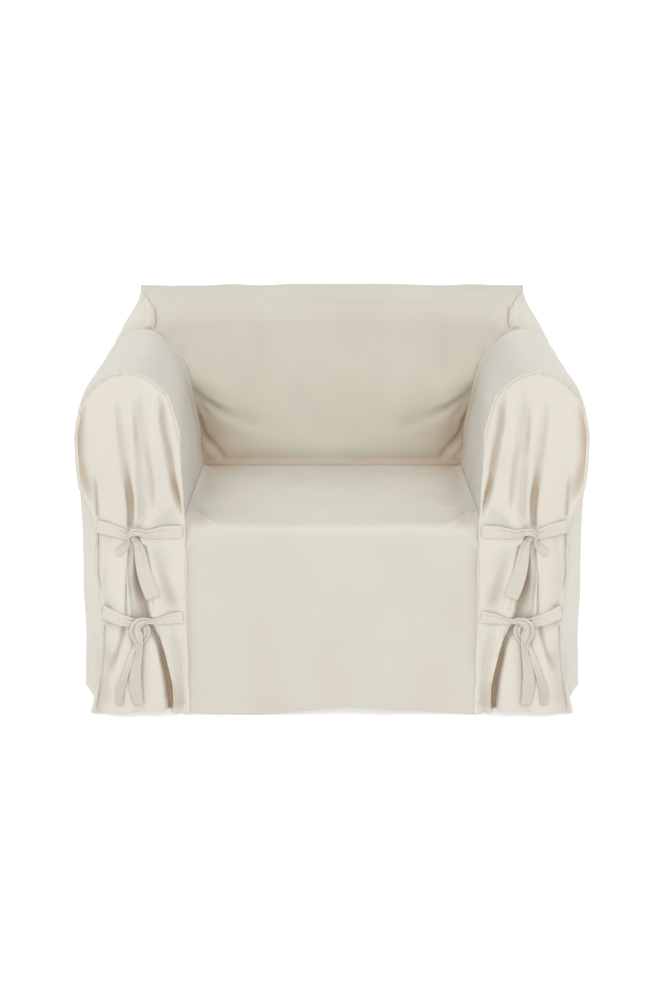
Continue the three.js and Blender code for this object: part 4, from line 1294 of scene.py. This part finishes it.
seat, back, rear = seat_and_front(), inside_back(), outside_back()
side, front, wing = arm_panel(), arm_front(), gusset()
strips = {}
for pair in ("upper", "lower"):
    first = laid_on(tape(TIES[pair + "_outer"], True), [(front, CLOTH)])
    second = laid_on(tape(TIES[pair + "_inner"], False), [(front, CLOTH), (first, TAPE)])
    strips[pair + "_outer"], strips[pair + "_inner"] = first, second
# deep: painted shade for each piece, added to the painted shade of its folds
panel("seat_and_front", seat, deep=painted_seat_shade(seat), strength=0.4)
panel("inside_back", back, deep=painted_back_shade(back), strength=0.45)
panel("outside_back", rear, strength=0.25)
for hand, turned, way in HANDS:
    panel(f"arm_panel_{hand}", turned(side), deep=painted_arm_shade(side)[::way], strength=0.3)
    panel(f"arm_front_{hand}", turned(front),
          deep=painted_front_shade(front)[::way])
    panel(f"back_gusset_{hand}", turned(wing))
    for name, strip in strips.items():
        panel(f"tie_{name}_{hand}", turned(strip),
              material=RIBBON, thickness=TAPE, deep=painted_tail_shade(name, strip)[::way])

# ---- stitching -----------------------------------------------------------------------------
for hand, turned, way in HANDS:
    inner, outer = ENDS[::way]
    cloth, around = turned(front), turned(side)
    stitching(f"arm_front_stitches_{hand}", [
        line_at(cloth, outer, LIP), line_at(cloth, "last_column", LIP),
        line_at(cloth, inner, FLANGE), line_at(cloth, "first_column", HEM)])
    stitching(f"arm_panel_stitches_{hand}", [line_at(around, "first_column", HEM)])
stitching("seat_stitches", [line_at(seat, "first_column", HEM)])
stitching("outside_back_stitches", [
    line_at(rear, "first_column", HEM), line_at(rear, "first_row", LIP),
    line_at(rear, "last_row", LIP)])
stitching("inside_back_stitches", [line_at(back, "last_column", LIP)])

# ---- floor and light -----------------------------------------------------------------------
def floor_finish(name="pale floor", tone=0.5, glow=0.6):
    material = bpy.data.materials.new(name)
    material.use_nodes = True
    nodes, links = material.node_tree.nodes, material.node_tree.links
    set_inputs(nodes["Principled BSDF"], Base_Color=(tone, tone, tone, 1), Roughness=0.9,
               Emission_Color=(1, 1, 1, 1), Emission_Strength=glow)
    grain = nodes.new("ShaderNodeTexNoise")
    set_inputs(grain, Scale=60.0, Detail=3.0)
    bump = nodes.new("ShaderNodeBump")
    set_inputs(bump, Strength=0.05, Distance=0.001)
    links.new(nodes.new("ShaderNodeTexCoord").outputs["Object"], grain.inputs["Vector"])
    links.new(grain.outputs["Fac"], bump.inputs["Height"])
    links.new(bump.outputs["Normal"], nodes["Principled BSDF"].inputs["Normal"])
    return material


def make_floor():
    """A large level floor with a low wall all round, far away, which hides its far edge."""
    mesh = bpy.data.meshes.new("floor")
    corners = [(-150, -150), (150, -150), (150, 150), (-150, 150)]
    points = [(x, y, z) for z in (0, 4) for x, y in corners]
    walls = [(k, k + 4, (k + 1) % 4 + 4, (k + 1) % 4) for k in range(4)]
    mesh.from_pydata(points, [], [(0, 1, 2, 3), *walls])
    mesh.materials.append(floor_finish())
    floor = bpy.data.objects.new("floor", mesh)
    bpy.context.scene.collection.objects.link(floor)


def far_softbox(name, turn, height, spread, power, colour):
    """A broad soft light from far away; turn and height are its direction in degrees."""
    data = bpy.data.lights.new(name, "SUN")
    data.angle, data.energy, data.color = math.radians(spread), power * math.pi, colour
    light = bpy.data.objects.new(name, data)
    light.rotation_euler = (math.radians(90 - height), 0, math.radians(turn))
    light.location = (0, -3, 3)
    bpy.context.scene.collection.objects.link(light)


def make_light():
    world = bpy.data.worlds.new("studio")
    world.use_nodes = True
    set_inputs(world.node_tree.nodes["Background"], Color=(0.985, 0.995, 1.0, 1), Strength=0.78)
    bpy.context.scene.world = world
    far_softbox("front softbox", -4, 42, 50, 0.26, (1.0, 0.95, 0.88))
    far_softbox("overhead softbox", 0, 88, 80, 0.12, (0.93, 0.97, 1.0))


make_floor()
make_light()
bpy.context.scene.view_settings.view_transform = "Standard"
